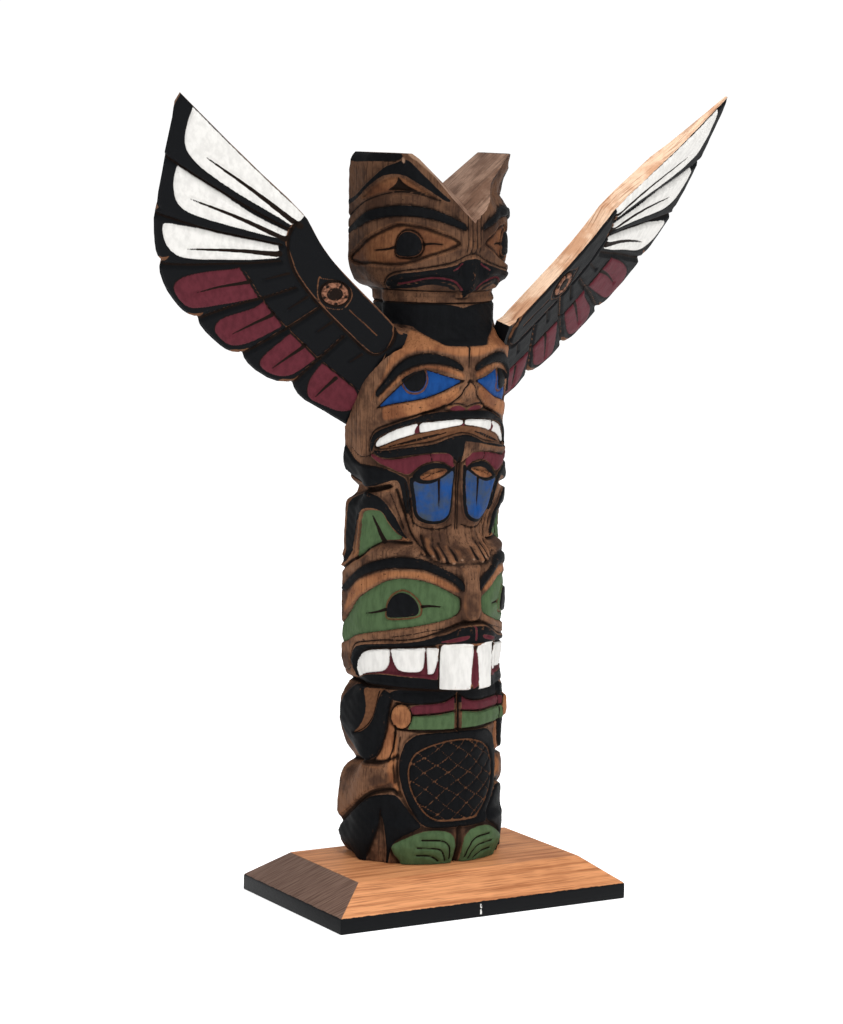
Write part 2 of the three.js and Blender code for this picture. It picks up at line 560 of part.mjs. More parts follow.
// Moves a point of the drawing to where it lies on one side's wing; only the right wing differs.
function handOf(side) {
  const { lift, drop, reach } = side > 0 ? rightHand : { lift: 0, drop: 0, reach: 0 };
  const [elbow, hand] = [66, 126]; // where the long feathers begin, and where the change is full
  return ([a, b]) => {
    const far = smooth((a - elbow) / (hand - elbow));
    const low = smooth((-b - 45) / 34); // the ends of the short feathers move less than the arm
    return [a + reach * far, b + lift * (1 - far) * (1 - 0.6 * low) + (drop * far * b) / (hand - elbow)];
  };
}

// From the board's plane to the object's frame; back is how far behind the front face.
function wingPlace(side, a, b, back) {
  const behind = new THREE.Vector3().crossVectors(board.up, board.out);
  const scale = pole.width / drawn.width;
  const base = new THREE.Vector3(board.origin[0] * scale, board.origin[1] * scale,
    plinth.height + ((board.origin[2] - drawn.footing) * pole.height) / drawn.height);
  const onFace = base.addScaledVector(board.out, a).addScaledVector(board.up, b);
  const place = onFace.addScaledVector(behind, back);
  return [place.x * side, place.y, place.z];
}

// A V-shaped trench along a line drawn on the board.
function trench(side, line, depth, width) {
  const over = 1; // its mouth stands this far clear of the face
  const half = (width / 2) * (1 + over / depth);
  const ring = line.map((point, k) => {
    const before = line[Math.max(0, k - 1)];
    const after = line[Math.min(line.length - 1, k + 1)];
    const [da, db] = [after[0] - before[0], after[1] - before[1]];
    const size = Math.hypot(da, db);
    const across = [(-db / size) * half, (da / size) * half];
    return [
      wingPlace(side, point[0] + across[0], point[1] + across[1], -over),
      wingPlace(side, point[0] - across[0], point[1] - across[1], -over),
      wingPlace(side, point[0], point[1], depth),
    ];
  });
  const last = ring[ring.length - 1];
  const triangles = [[ring[0][0], ring[0][2], ring[0][1]], [last[0], last[1], last[2]]];
  for (let k = 0; k + 1 < ring.length; k += 1) {
    for (let e = 0; e < 3; e += 1) {
      const [near, far] = [ring[k], ring[k + 1]];
      const f = (e + 1) % 3;
      triangles.push([near[e], near[f], far[e]], [near[f], far[f], far[e]]);
    }
  }
  return solid(triangles, side < 0);
}

// The sawn board before carving; grow makes it larger all round, for cutting its slot.
function wingBlank(side, grow) {
  const hand = handOf(side);
  const root = [wingOutline[wingOutline.length - 1], wingOutline[0]];
  const inner = root.map(([a, b]) => [a - wing.tenonOut - grow, b + wing.tenonUp]);
  const outline = [...wingOutline, ...inner].map(hand);
  const shape = new THREE.Shape(outline.map(([a, b]) => new THREE.Vector2(a, b)));
  const prism = new THREE.ExtrudeGeometry(shape, { depth: 1, bevelEnabled: false });
  const points = prism.attributes.position;
  const lowest = Math.min(...outline.map(([, b]) => b));
  const tip = Math.max(...outline.map(([a]) => a));
  for (let i = 0; i < points.count; i += 1) {
    const [a, b] = [points.getX(i), points.getY(i)];
    const behind = points.getZ(i) < 0.5;
    // the leading edge slopes back, and the board thins towards its feathers' ends and its tip
    const toTip = clamp((a - wing.tipFrom) / (tip - wing.tipFrom), 0, 1);
    const depth = wing.thickness - wing.thinning * clamp(b / lowest, 0, 1) - wing.tipThinning * toTip;
    const leading = behind && b > wingOutline[0][1] - 1 ? (wing.edgeBevel * depth) / wing.thickness : 0;
    points.setXYZ(i, ...wingPlace(side, a, b - leading + grow * Math.sign(b - lowest / 2),
      behind ? depth + grow : -grow));
  }
  return toManifold(prism, side < 0);
}

function wingSolid(side) {
  const hand = handOf(side);
  const cuts = [
    ...featherCuts.map((line) => trench(side, line.map(hand), wing.cut, wing.cut * 2)),
    trench(side, armRim.map(hand), wing.rimCut, wing.rimCut * 2),
  ];
  return cuts.reduce((carved, tool) => carved.subtract(tool), wingBlank(side, 0));
}

const finishes = {
  plinth: { color: 0xa8663f, roughness: 0.5, metalness: 0 },
  pole: { color: 0x8a5a40, roughness: 0.55, metalness: 0 },
  wing: { color: 0x2b2c30, roughness: 0.55, metalness: 0 },
};

function piece(name, geometry, finish) {
  const mesh = new THREE.Mesh(geometry, new THREE.MeshStandardMaterial(finish));
  mesh.name = name;
  return mesh;
}

const sides = [-1, 1];
const post = sides.reduce((cutSoFar, side) => cutSoFar.subtract(wingBlank(side, gap)),
  poleSolid().subtract(crownNotch()));

const totemPole = new THREE.Group();
totemPole.add(piece('plinth', plinthGeometry(), finishes.plinth));
totemPole.add(piece('pole', toGeometry(post), finishes.pole));
for (const side of sides) {
  totemPole.add(piece(side < 0 ? 'wing_left' : 'wing_right', toGeometry(wingSolid(side)), finishes.wing));
}

export default totemPole;
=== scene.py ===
# %% [markdown]
# # A souvenir totem pole
#
# The object is a small carved and painted post of three figures on a bevelled plinth, with a wing
# board let into each side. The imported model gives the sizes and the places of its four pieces. Here
# each piece is modelled again with its fine carving, and then stained and painted.

import math

import bmesh
import bpy
import numpy as np
from mathutils import Matrix, Vector


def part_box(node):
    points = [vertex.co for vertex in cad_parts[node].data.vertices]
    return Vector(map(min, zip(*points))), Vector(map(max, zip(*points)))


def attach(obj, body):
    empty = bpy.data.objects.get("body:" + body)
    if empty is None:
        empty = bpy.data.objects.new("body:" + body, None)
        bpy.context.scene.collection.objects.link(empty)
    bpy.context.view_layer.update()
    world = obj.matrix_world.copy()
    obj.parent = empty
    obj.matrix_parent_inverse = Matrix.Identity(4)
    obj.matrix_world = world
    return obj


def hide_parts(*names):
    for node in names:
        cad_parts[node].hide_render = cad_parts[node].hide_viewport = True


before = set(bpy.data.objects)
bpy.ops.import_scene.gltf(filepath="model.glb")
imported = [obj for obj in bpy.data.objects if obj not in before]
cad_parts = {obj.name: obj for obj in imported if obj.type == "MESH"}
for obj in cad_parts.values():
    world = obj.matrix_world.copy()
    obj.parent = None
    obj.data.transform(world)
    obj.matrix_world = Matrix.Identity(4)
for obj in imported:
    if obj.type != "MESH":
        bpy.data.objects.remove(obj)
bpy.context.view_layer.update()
MM = 0.001

# %% [markdown]
# ## The camera
#
# The photograph was taken from the object's front left and a little above, with a long lens. A place
# and two directions say where the camera stands and how it is turned, and it is made first, because
# every carved line is judged from here.

# %% Camera
LENS = 113.97  # on a sensor 36 mm high
CAMERA_PLACE = Vector((-0.7536, -1.2570, 0.3686))
CAMERA_RIGHT = Vector((0.86187, -0.50680, 0.01858))
CAMERA_UP = Vector((0.04949, 0.12052, 0.99149))

camera_data = bpy.data.cameras.new("camera")
camera_data.sensor_fit = "VERTICAL"
camera_data.sensor_height = 36
camera_data.lens = LENS
camera = bpy.data.objects.new("camera", camera_data)
bpy.context.scene.collection.objects.link(camera)
turn = Matrix((CAMERA_RIGHT, CAMERA_UP, CAMERA_RIGHT.cross(CAMERA_UP))).transposed().to_4x4()
camera.matrix_world = Matrix.Translation(CAMERA_PLACE) @ turn
bpy.context.scene.camera = camera
print("camera", [round(x, 3) for x in camera.matrix_world.translation])

# %% [markdown]
# ## Drawing on wood
#
# A carver pencils every eye, tooth and feather on the wood before cutting it. The same drawing serves
# here three times: it lifts the ground, it sinks the knife cuts, and it says where each paint goes.
# Shapes are drawn with few points and their corners are then cut twice, which rounds them; a point
# given twice stays sharp. A drawing is asked for heights and colours at the places of a mesh's points,
# all at once, as arrays.

# %% Lines and distances
FAR = 6.0  # mm, beyond which a distance isn't worked out
PAINTS = ("black", "white", "green", "blue", "red", "warm", "pale", "ring")


def smooth(t):
    s = np.clip(t, 0, 1)
    return s * s * (3 - 2 * s)


def eased(points, closed, rounds=2):
    """The same line with its corners cut; a doubled point stays a corner."""
    line = np.array(points, float)
    for _ in range(rounds):
        after = np.roll(line, -1, 0) if closed else line[1:]
        before = line if closed else line[:-1]
        new = np.stack([before * 0.75 + after * 0.25, before * 0.25 + after * 0.75], 1).reshape(-1, 2)
        line = new if closed else np.vstack([line[:1], new, line[-1:]])
    return np.vstack([line, line[:1]]) if closed else line


def distance(points, u, z, closed=True):
    """Distance from a line in mm; inside a closed outline it is negative."""
    line = eased(points, closed)
    low, high = line.min(0) - FAR, line.max(0) + FAR
    near = (u > low[0]) & (u < high[0]) & (z > low[1]) & (z < high[1])
    p, q = u[near], z[near]
    best = np.full(p.shape, FAR**2)
    inside = np.zeros(p.shape, bool)
    for (a, b), (c, d) in zip(line[:-1], line[1:]):
        du, dz = c - a, d - b
        t = np.clip(((p - a) * du + (q - b) * dz) / max(du * du + dz * dz, 1e-9), 0, 1)
        best = np.minimum(best, (p - a - t * du) ** 2 + (q - b - t * dz) ** 2)
        if closed and b != d:
            inside ^= ((b > q) != (d > q)) & (p < a + (q - b) * du / dz)
    result = np.full(u.shape, FAR)
    result[near] = np.where(inside, -1, 1) * np.sqrt(best)
    return result


class Drawing:
    """Heights and paint edges at many places of one drawn surface."""

    def __init__(self, u, z, paints):
        self.signed, self.u, self.z = u, np.abs(u), z
        self.relief = np.zeros(u.shape)
        self.paint = {name: np.full(u.shape, FAR) for name in paints}
        self.lines = []

    def colour(self, name, d):
        """Paints where d is negative, over whatever was painted there before; cut lines lie over every paint."""
        if name in PAINTS:
            for other in PAINTS:
                if other in self.paint and other != name:
                    self.paint[other] = np.maximum(self.paint[other], -d)
        self.paint[name] = np.minimum(self.paint[name], d)

    def lift(self, points, height, edge=1.2, crown=0.0, paint=None):
        """Ground raised inside an outline; crown rounds its back over."""
        d = distance(points, self.u, self.z)
        self.relief += height * smooth(0.5 - d / edge)
        if crown:
            self.relief += crown * np.sqrt(1 - (1 - np.clip(-d / FAR, 0, 1)) ** 2)
        if paint:
            self.colour(paint, d)

    def bare(self, points):
        """Leaves the stained wood showing inside an outline."""
        inside = distance(points, self.u, self.z)
        for paint in PAINTS:
            if paint in self.paint:
                self.paint[paint] = np.maximum(self.paint[paint], -inside)

    def fill(self, paint, *outlines):
        for points in outlines:
            self.colour(paint, distance(points, self.u, self.z))

    def cut(self, points, depth=0.7, width=1.5, line=0.0, paint="dark", closed=False):
        """A knife cut along a line, and the stain or bare wood that shows in it."""
        self.lines.append(eased(points, closed))
        d = np.abs(distance(points, self.u, self.z, closed))
        self.relief -= depth * np.clip(1 - d / (width / 2), 0, 1) ** 0.8
        if line:
            self.colour(paint, d - line / 2)

    def slit(self, points, width, depth=0.9):
        """A cut that is widest at its first point and runs out to nothing at its last."""
        self.cut(points, depth, width + 1.2)
        line = eased(points, False)
        d = np.full(self.u.shape, FAR)
        for (a, b), (c, e), half in zip(line[:-1], line[1:], np.linspace(width / 2, 0, len(line))):
            du, dz = c - a, e - b
            t = np.clip(((self.u - a) * du + (self.z - b) * dz) / (du * du + dz * dz), 0, 1)
            d = np.minimum(d, np.hypot(self.u - a - t * du, self.z - b - t * dz) - half)
        self.colour("dark", d)

    def dots(self, points, spread, count):
        """Small dark flecks of the wood, scattered along a line."""
        line = eased(points, False)
        chance = np.random.default_rng(count * 31 + len(self.lines))
        along = chance.uniform(0, len(line) - 1, count)
        for k, (off_u, off_z, size) in zip(along, chance.uniform(-1, 1, (count, 3))):
            a = np.interp(k, np.arange(len(line)), line[:, 0]) + off_u * spread
            b = np.interp(k, np.arange(len(line)), line[:, 1]) + off_z * spread
            self.colour("spots", np.hypot(self.u - a, self.z - b) - 0.32 - 0.1 * size)

    def wall(self, points, drop, reach=4.0, side=1):
        """Ground that falls away to one side of a line and comes back up over its reach."""
        d = distance(points, self.u, self.z, False)
        line = eased(points, False)
        level = np.interp(self.u, *line[np.argsort(line[:, 0])].T)
        beyond = (self.z - level) * side > 0
        self.relief -= drop * np.where(beyond, np.clip(1 - d / reach, 0, 1) ** 1.5, np.clip(1 - d / 0.5, 0, 1))


print("drawing tools ready")

# %% [markdown]
# ## The pole's drawing
#
# The pole is a half round post, and a half round post can be unrolled like a sheet of paper. Places on
# it are given as a girth, in millimetres round from the middle of the front, and a level above the
# plinth's underside. The two halves are alike, so only one is drawn, from the feet to the horns.

# %% The lower figure: feet, tail, thighs, arms
POLE_PAINTS = ["black", "white", "green", "blue", "red", "warm", "pale", "brown", "dark", "spots"]


def draw_feet(d):
    """Two green feet with cut toes, turned a little outward."""
    foot = [(1.9, 20), (1.9, 29), (3.4, 32.5), (7, 34.5), (12, 35), (17, 34.5), (22, 32.5), (27, 30), (31.5, 27.3),
            (29.5, 23), (26, 20), (26, 15), (1.9, 15), (1.9, 15)]
    d.lift(foot, 1.3, 2.0, crown=1.3, paint="green")
    for toe in ([(17.5, 30.6), (10, 30.6), (7, 29.5), (5, 27), (4, 21)],
                [(19.5, 27), (12, 26.8), (9, 26), (7, 23), (6, 20)],
                [(19.5, 23.3), (14, 23.2), (11.5, 22), (9, 20)]):
        d.cut(toe, 1.1, 1.7, 0.5)
    d.cut([(0, 18), (0, 36)], 1.4, 3.6, 0.35)


def draw_thigh(d):
    thigh = [(67, 29.5), (62, 34.8), (55, 39), (50, 43), (45, 47), (40, 49.5), (35, 50.5), (31, 50.8), (28, 50),
             (25, 46), (22, 42), (19, 38.5), (17.5, 36.5), (22, 34), (27, 31.5), (31, 28), (32, 20), (32, 15),
             (60, 15), (60, 21.5), (64, 24), (66.5, 28)]
    hollow = [(36, 42), (37.4, 37), (39, 32), (41, 27), (42.8, 22.5), (43, 15), (33.2, 15), (33, 23), (33.9, 30),
              (35.2, 38)]
    d.lift(thigh, 0.7, 1.4, crown=1.0, paint="black")
    d.lift(hollow, -1.8, 2.6)
    d.bare(hollow)
    d.cut([(36, 43), (37.4, 37), (39, 32), (41, 27), (43, 21)], 0.7, 1.6, 0.25)
    groove = [(67, 32.5), (64.5, 34.5), (55, 40.5), (50, 44), (45, 48), (40, 51), (35, 52.3), (30.5, 53), (28, 51)]
    d.cut(groove, 1.5, 3.0, 0.6)
    haunch = [(70, 33.5), (64.5, 36), (55, 42.2), (50, 45.8), (45, 49.8), (40, 52.8), (35, 54.2), (31, 55.5),
              (30, 60), (33, 63.5), (40, 64), (50, 64), (60, 62), (70, 61.5)]
    d.lift(haunch, 0.5, 2.0, crown=1.3)
    d.cut([(70, 61.8), (60, 62.6), (50, 64.9), (40, 64.4), (33, 66), (29, 68)], 1.4, 3.4, 0.4)


def draw_tail(d):
    """The beaver's flat scaly tail, turned up in front of its belly."""
    tail = [(-9, 80), (15, 79.5), (20, 78.5), (23.5, 76), (25.5, 74), (27.5, 68), (27.8, 62), (27, 58), (25.5, 52),
            (23, 46), (20, 41), (17, 36.7), (12, 36), (-9, 36)]
    d.lift(tail, 1.5, 1.6, paint="black")
    rim = [(-9, 75.9), (5, 75.7), (10, 74.5), (15, 72.8), (20, 70), (22, 67), (23.3, 63), (23, 57), (21.5, 52),
           (19.5, 48), (17, 44), (14, 41), (11, 39.3), (8, 38.8), (-9, 38.8)]
    d.cut(rim, 1.0, 2.0, 0.65, "brown", closed=True)
    inside = distance(rim, d.u, d.z)
    d.relief += 0.5 * smooth(-inside / 4)
    # the scales: two families of slanting cuts that show a little bare wood
    for k in range(-5, 6):
        for slope, width in ((0.72, 0.14), (-0.72, 0.2)):
            level = 57 + 7.6 * k
            across = d.z - (level + slope * d.signed)
            wobble = 0.6 * np.sin(d.signed * 0.3 + k * 1.7)
            gap = np.abs(across + wobble) / math.hypot(1, slope)
            gap = np.where(inside < -0.4, gap, FAR)
            d.relief -= 0.55 * np.clip(1 - gap / 0.7, 0, 1)
            d.colour("brown", gap - width)
    # the strips of bare wood between tail and thigh
    for strip in ([(30.5, 79), (31, 66), (29.5, 56)], [(27.8, 77), (29, 68), (28.8, 58), (26.5, 50)]):
        d.cut(strip, 0.8, 1.8)
    d.fill("warm", [(28.5, 79), (30, 66), (29, 58), (25, 48), (29, 52), (33, 60), (33.5, 68), (33, 79)])


def draw_arms(d):
    arm = [(31, 99), (33, 90), (33.5, 85), (35, 80), (36, 74), (38, 70), (40, 67), (43.5, 65.2), (47, 65.3),
           (54, 67.5), (60, 72), (63.5, 78), (65, 84), (64.5, 90), (61, 96), (57, 99.5)]
    d.lift(arm, 1.2, 2.4, crown=0.8, paint="black")
    crescent = [(47, 98.7), (47, 98.7), (45, 95), (44.3, 91), (44.8, 87), (46.5, 82.5), (49, 79.5), (53, 77),
                (53, 77), (47, 78.3), (43, 81.5), (40.5, 86), (39.5, 90), (38.5, 94), (36.5, 99), (36.5, 99)]
    inside = distance(crescent, d.u, d.z)
    d.relief -= 1.1 * smooth(0.5 - inside / 1.6)
    d.colour("brown", inside)
    d.cut([(38.5, 98), (39.5, 91), (41.5, 85), (46, 79.7), (52, 77)], 0.6, 1.6, 0.3)
    strip = [(32, 94), (33, 88), (34, 82), (35.5, 76), (37, 71), (40, 66.5), (36, 65.5), (34, 66.5), (32.5, 70),
             (31, 76), (30.5, 82), (31, 92)]
    d.fill("warm", strip)
    d.cut([(41, 65.6), (37.5, 70), (35.6, 76), (34.2, 82), (33.2, 88), (32.2, 94)], 0.9, 1.6, 0.2)
    d.cut([(30, 82.5), (30.4, 76), (31.6, 70), (33.4, 66)], 1.0, 2.0, 0.35)


def draw_hands(d):
    """The paws under the chin; the right one is held further round."""
    even = d.u
    d.u = np.where(d.signed > 0, d.u - 13 * smooth((d.u - 13) / 16), d.u)
    d.fill("black", [(-9, 92.5), (33, 92.5), (34, 100), (-9, 100)])
    green = [(2.0, 80.9), (2.0, 80.9), (24, 80.9), (24, 80.9), (22.2, 87), (21, 87), (10, 87.6), (4, 88.6), (2, 88.8),
             (2, 88.8)]
    red = [(2, 89.6), (2, 89.6), (10, 88.5), (22, 87.6), (24, 89.6), (22, 92), (10, 92.7), (5, 93.7), (2, 95.7),
           (2, 95.7)]
    d.lift(green, 0.7, 1.0, crown=0.5, paint="green")
    d.lift(red, 0.2, 1.0, paint="red")
    d.cut([(1, 89.2), (10, 88.1), (22, 87.3)], 0.9, 1.5, 0.3)
    d.cut([(1, 96.6), (5, 94.2), (10, 93.1), (22, 92.3), (30, 92.8)], 0.8, 1.6, 0.35)
    d.cut([(-4, 80.3), (24, 80.3), (29, 80.8)], 0.9, 1.5, 0.5)
    d.cut([(0, 80), (0, 97)], 1.6, 2.2, 1.0, "brown")
    d.cut([(0.5, 80), (0.5, 97)], 0.2, 0.8, 0.3)
    knuckle = [(27.3 + 5.1 * math.cos(t), 86.8 + 6.0 * math.sin(t)) for t in np.arange(0, 2 * math.pi, 0.5)]
    d.lift(knuckle, 1.0, 1.2, crown=1.0)
    d.fill("warm", knuckle)
    d.cut(knuckle, 0.8, 1.5, 0.35, closed=True)
    d.dots([(25, 84), (29, 90)], 1.6, 5)
    d.u = even


# %% [markdown]
# The beaver's head is the largest face. Its incisors and nose stand well forward of everything else,
# its lips run back round the jaw, and its eyes lie in almond hollows under heavy brows.

# %% The beaver's head
def draw_beaver_mouth(d):
    lip_low = [(-9, 99.8), (66, 99.8), (66, 101), (57.5, 101.6), (56, 102.3), (53, 102.8), (50, 104.3), (45, 105.3),
               (40, 105.8), (25, 105.5), (16, 105.5), (-9, 105.5)]
    d.fill("black", lip_low)
    d.cut([(70, 100), (-4, 99.6)], 2.0, 3.0, 1.6)
    # the mouth's opening is cut back, and each tooth is left standing in it
    mouth = [(57.5, 102.4), (58, 107), (55.5, 112), (53, 115.4), (49, 117.6), (45, 118.2), (37.5, 118.9), (30, 119.6),
             (20, 120.6), (14, 121.4), (14, 106), (25, 106), (40, 106.3), (45, 105.8), (50, 104.8), (53, 103.3)]
    inside = distance(mouth, d.u, d.z)
    d.relief -= 1.7 * smooth(0.5 - inside / 1.1)
    d.fill("red", [(13.6, 119.6), (13.6, 105.2), (16, 105.3), (25, 105.8), (40, 106.1), (45, 105.6), (50, 104.6),
                   (54, 103.2), (56, 104.5), (50, 110), (40, 117.6)])
    teeth = (
        [(55.5, 102.9), (55.5, 102.9), (56, 106), (54, 110), (51.5, 114), (49, 115.6), (45, 116.6), (37.5, 117.7),
         (36.9, 116.6), (37.4, 112.5), (38.2, 109.6), (40, 107.2), (45, 106.3), (50, 105.2), (53, 103.5)],
        [(36.4, 116.6), (37, 117.7), (30, 118.4), (20, 119.4), (20, 119.4), (20.1, 113), (20.8, 109.7), (22, 108.3),
         (25, 107.8), (31, 107.8), (33.5, 108.8), (35, 111.2), (36, 114.5)],
        [(19.3, 119.5), (19.3, 119.5), (18.8, 113), (18.5, 107.4), (18.5, 107.4), (16.2, 107.4), (15.2, 109.4),
         (14.4, 113), (13.8, 119.8), (13.8, 119.8)],
    )
    for tooth in teeth:
        d.lift(tooth, 1.3, 0.9, crown=0.5, paint="white")
    front = [(1.9, 101.2), (1.9, 101.2), (1.2, 112), (0.3, 122), (5, 122.6), (11, 121.9), (13.1, 121.2), (13.3, 112),
             (13.3, 101.2), (13.3, 101.2)]
    block = distance([(-9, 101), (-9, 101), (-9, 122.8), (-9, 122.8), (12, 122), (13.6, 121.4), (13.7, 101),
                      (13.7, 101)], d.u, d.z)
    d.relief += (4.4 - 5.0 * np.clip(d.u / 13.5, 0, 1) ** 1.6) * smooth(0.5 - block / 0.9)
    d.fill("white", front)
    d.fill("red", [(-9, 100.6), (1.9, 100.6), (1.5, 112), (0.4, 121.6), (-9, 121.6)])
    d.cut([(0, 100), (0, 121)], 1.2, 2.6)
    d.cut([(13.5, 101), (13.6, 121)], 0.3, 0.9, 0.3)


def draw_beaver_nose(d):
    lip = [(57.5, 101.5), (59, 106), (58.8, 111), (57, 115), (54, 117.2), (50, 118.5), (45, 119.3), (40, 119.9),
           (35, 120.5), (30, 121.2), (25, 122), (20, 123), (15.5, 125), (13, 125.8), (10, 127), (7, 129), (4, 130),
           (-9, 130.2), (-9, 122.8), (14, 122.2), (15.6, 120.6), (20, 119.9), (30, 118.8), (37.5, 118.2), (45, 117.1),
           (49, 116.1), (52, 114.3), (54.6, 110.2), (56.6, 106), (56, 102.4)]
    d.fill("black", lip)
    nose = [(-9, 130.6), (4, 130.3), (7, 129.3), (10, 127.3), (13, 126), (15.8, 124), (16, 121.4), (13, 121.8),
            (-9, 122.2)]
    ahead = distance(nose, d.u, d.z)
    d.relief += (4.2 - 3.6 * np.clip(d.u / 15, 0, 1) ** 1.5) * smooth(0.5 - ahead / 2.2)
    d.lift(nose, 0.0, crown=0.9)
    d.cut([(13, 122.9), (9.5, 123.8), (5.5, 125.4)], 0.9, 2.2)
    d.fill("red", [(14.5, 122.4), (10, 124.3), (6, 125.6), (2.4, 126.4), (3, 124.6), (6, 123.6), (10, 122.8)])
    d.cut([(0, 124), (0, 130)], 0.7, 1.6, 0.7, "red")
    d.cut([(60, 104), (59.8, 111), (57.4, 116.8), (54, 119), (50, 119.7), (45, 120.8), (40, 121.7), (30, 122.3),
           (22, 123.8), (16, 126.2), (12, 127.8), (8, 130), (4, 131.4), (-4, 131.6)], 0.9, 2.0, 0.3)
    d.cut([(35, 123.5), (25, 125.5), (20, 127), (15, 128), (10, 129.5)], 0.35, 1.2, 0.15)
    d.cut([(70, 104.5), (64, 104), (61, 106)], 0.4, 1.4, 0.15)
    d.dots([(52, 121), (40, 123.6), (28, 125.6), (16, 129)], 1.2, 14)


def draw_beaver_eye(d):
    socket = [(70, 115.6), (66.5, 117), (62, 118.5), (59, 120.5), (55, 122.3), (50, 123.5), (45, 124.8), (40, 125.8),
              (35, 127), (30, 128), (25, 129), (20, 130), (15, 131.5), (10, 133.2), (7, 134.8), (5.5, 136.5), (5, 139),
              (5, 142), (6, 143), (10, 145.5), (15, 148), (20, 149.7), (25, 150.3), (30, 150.5), (35, 149.8),
              (40, 148.3), (45, 145.3), (50, 142), (53, 140), (56, 137.5), (60, 132.5), (64, 128.5), (66.8, 126),
              (70, 124)]
    pupil = [(38.3, 133), (38.3, 133), (37.5, 132), (30, 132.8), (24, 134), (22.8, 135.5), (23, 139), (25.5, 142.5),
             (29.5, 144.5), (33, 143.8), (36.5, 141), (38.3, 137)]
    d.lift(socket, -1.7, 1.3, paint="green")
    d.lift(socket, 0.0, crown=1.5)
    d.cut(socket, 0.4, 1.3, closed=True)
    d.lift(pupil, 0.7, 1.0, crown=0.5, paint="black")
    ring = [(u + (u - 31) * 0.12, z + (z - 138) * 0.14) for u, z in pupil]
    d.cut(ring, 0.9, 1.7, 0.8, "brown", closed=True)
    d.slit([(39.4, 135.6), (44, 133.9), (49.5, 132.8)], 1.3)
    d.slit([(21.6, 138.2), (17.6, 138.8), (12.5, 138.5)], 1.3)
    band = [(61, 141.3), (55, 146.3), (50, 149), (45, 151.2), (40, 152.8), (35, 153.8), (25, 154.1), (20, 153.8),
            (15, 152), (10, 149.6), (7, 147.3), (5, 145), (10, 146.4), (15, 149), (20, 150.8), (25, 151.4),
            (30, 151.6), (35, 151), (40, 149.4), (45, 146.4), (50, 143), (56, 138.6), (62, 133), (66, 130)]
    d.fill("warm", band)
    d.dots([(62, 136), (55, 144), (46, 149), (36, 152.6), (25, 153), (14, 150)], 0.9, 22)


def draw_beaver_brow(d):
    brow = [(66, 140.5), (61, 142.5), (55, 147.5), (50, 150.3), (45, 152.5), (40, 154), (35, 155), (25, 155.3),
            (20, 155), (15, 153.2), (10, 150.8), (7, 148.5), (5, 146.2), (3.5, 145.2), (3.5, 149), (5, 151.3),
            (7, 153), (10, 154.7), (15, 157.2), (20, 159.3), (25, 160), (30, 160), (35, 159.5), (40, 158.5),
            (45, 157), (50, 154.8), (55, 151.5), (58, 149.5), (62, 146.5), (67, 142.5)]
    d.lift(brow, 0.9, 1.1, crown=0.4, paint="black")
    d.cut(brow, 0.6, 1.3, 0.15, closed=True)
    d.cut([(70, 149), (60, 156), (55, 158.5), (50, 161), (45, 163.5), (40, 165.5), (35, 166.2), (23, 166)], 1.3, 2.6,
          0.3)
    d.dots([(52, 157), (40, 161), (30, 162.4), (21, 161)], 1.4, 9)
    d.dots([(0.5, 134), (0.8, 152)], 1.6, 7)
    d.lift([(-9, 131), (4.2, 131), (4.4, 145), (3.2, 152), (6, 158), (-9, 158)], 1.0, 2.0, crown=0.6)
    d.cut([(1.2, 136), (1.4, 155)], 0.2, 1.0)


def draw_ear(d):
    ear = [(70, 150.5), (64, 155), (70, 158), (70, 183), (64, 184), (60, 186), (55, 187.5), (50, 188.4), (45, 188.3),
           (40, 187), (36, 184), (33, 180), (30.5, 176), (28, 171.5), (25, 168), (23, 166), (28, 166.6), (36, 166.5),
           (40, 165.5), (45, 163.5), (50, 161), (57, 157.4)]
    d.lift(ear, 1.4, 2.0, crown=0.5)
    d.fill("black", [(66.5, 153), (64.4, 156), (65.4, 172), (63.8, 182.4), (60, 185.6), (55, 187.3), (50, 188.3),
                     (45, 188.3), (40, 187), (36, 184), (33, 180), (30.5, 176), (28, 171.5), (25, 168), (23, 166),
                     (25.5, 167.7), (29, 169.5), (32, 172), (35.5, 176), (38, 180.3), (44, 181.6), (49, 180),
                     (52.5, 177), (55.6, 171), (58, 163), (61, 156)])
    hollow = [(59, 156), (55, 160), (52.5, 164), (50.5, 170), (50, 175), (49, 178.5), (46, 180), (40, 180.2),
              (38, 179), (36, 175.5), (33, 172), (30, 169.5), (27, 168.3), (30, 167.1), (37.5, 166.9), (40, 165.5),
              (45, 163.4), (50, 160.4), (55, 157.4)]
    d.lift(hollow, -1.9, 1.6, paint="green")
    d.cut(hollow, 0.4, 1.2, closed=True)
    d.cut([(59.5, 157), (56.5, 164), (54.4, 171), (52, 177)], 0.9, 2.0, 0.9, "brown")
    d.slit([(38, 166.4), (41, 171.5), (44.5, 177.5)], 2.6)
    d.cut([(30.5, 190), (28, 183), (25, 175), (22, 168), (16, 160.5)], 1.3, 2.6, 0.4)
    for strip in ([(33.5, 188), (30.5, 181), (27, 172.5)], [(27.5, 186), (25.4, 178)], [(24, 186), (21.5, 172)]):
        d.cut(strip, 0.6, 1.5, 0.15)


# %% [markdown]
# Above the beaver sits the bear, holding its legs in front of it with the claws hanging down over the
# beaver's forehead. Its mouth is a long row of teeth drawn back into the cheeks.

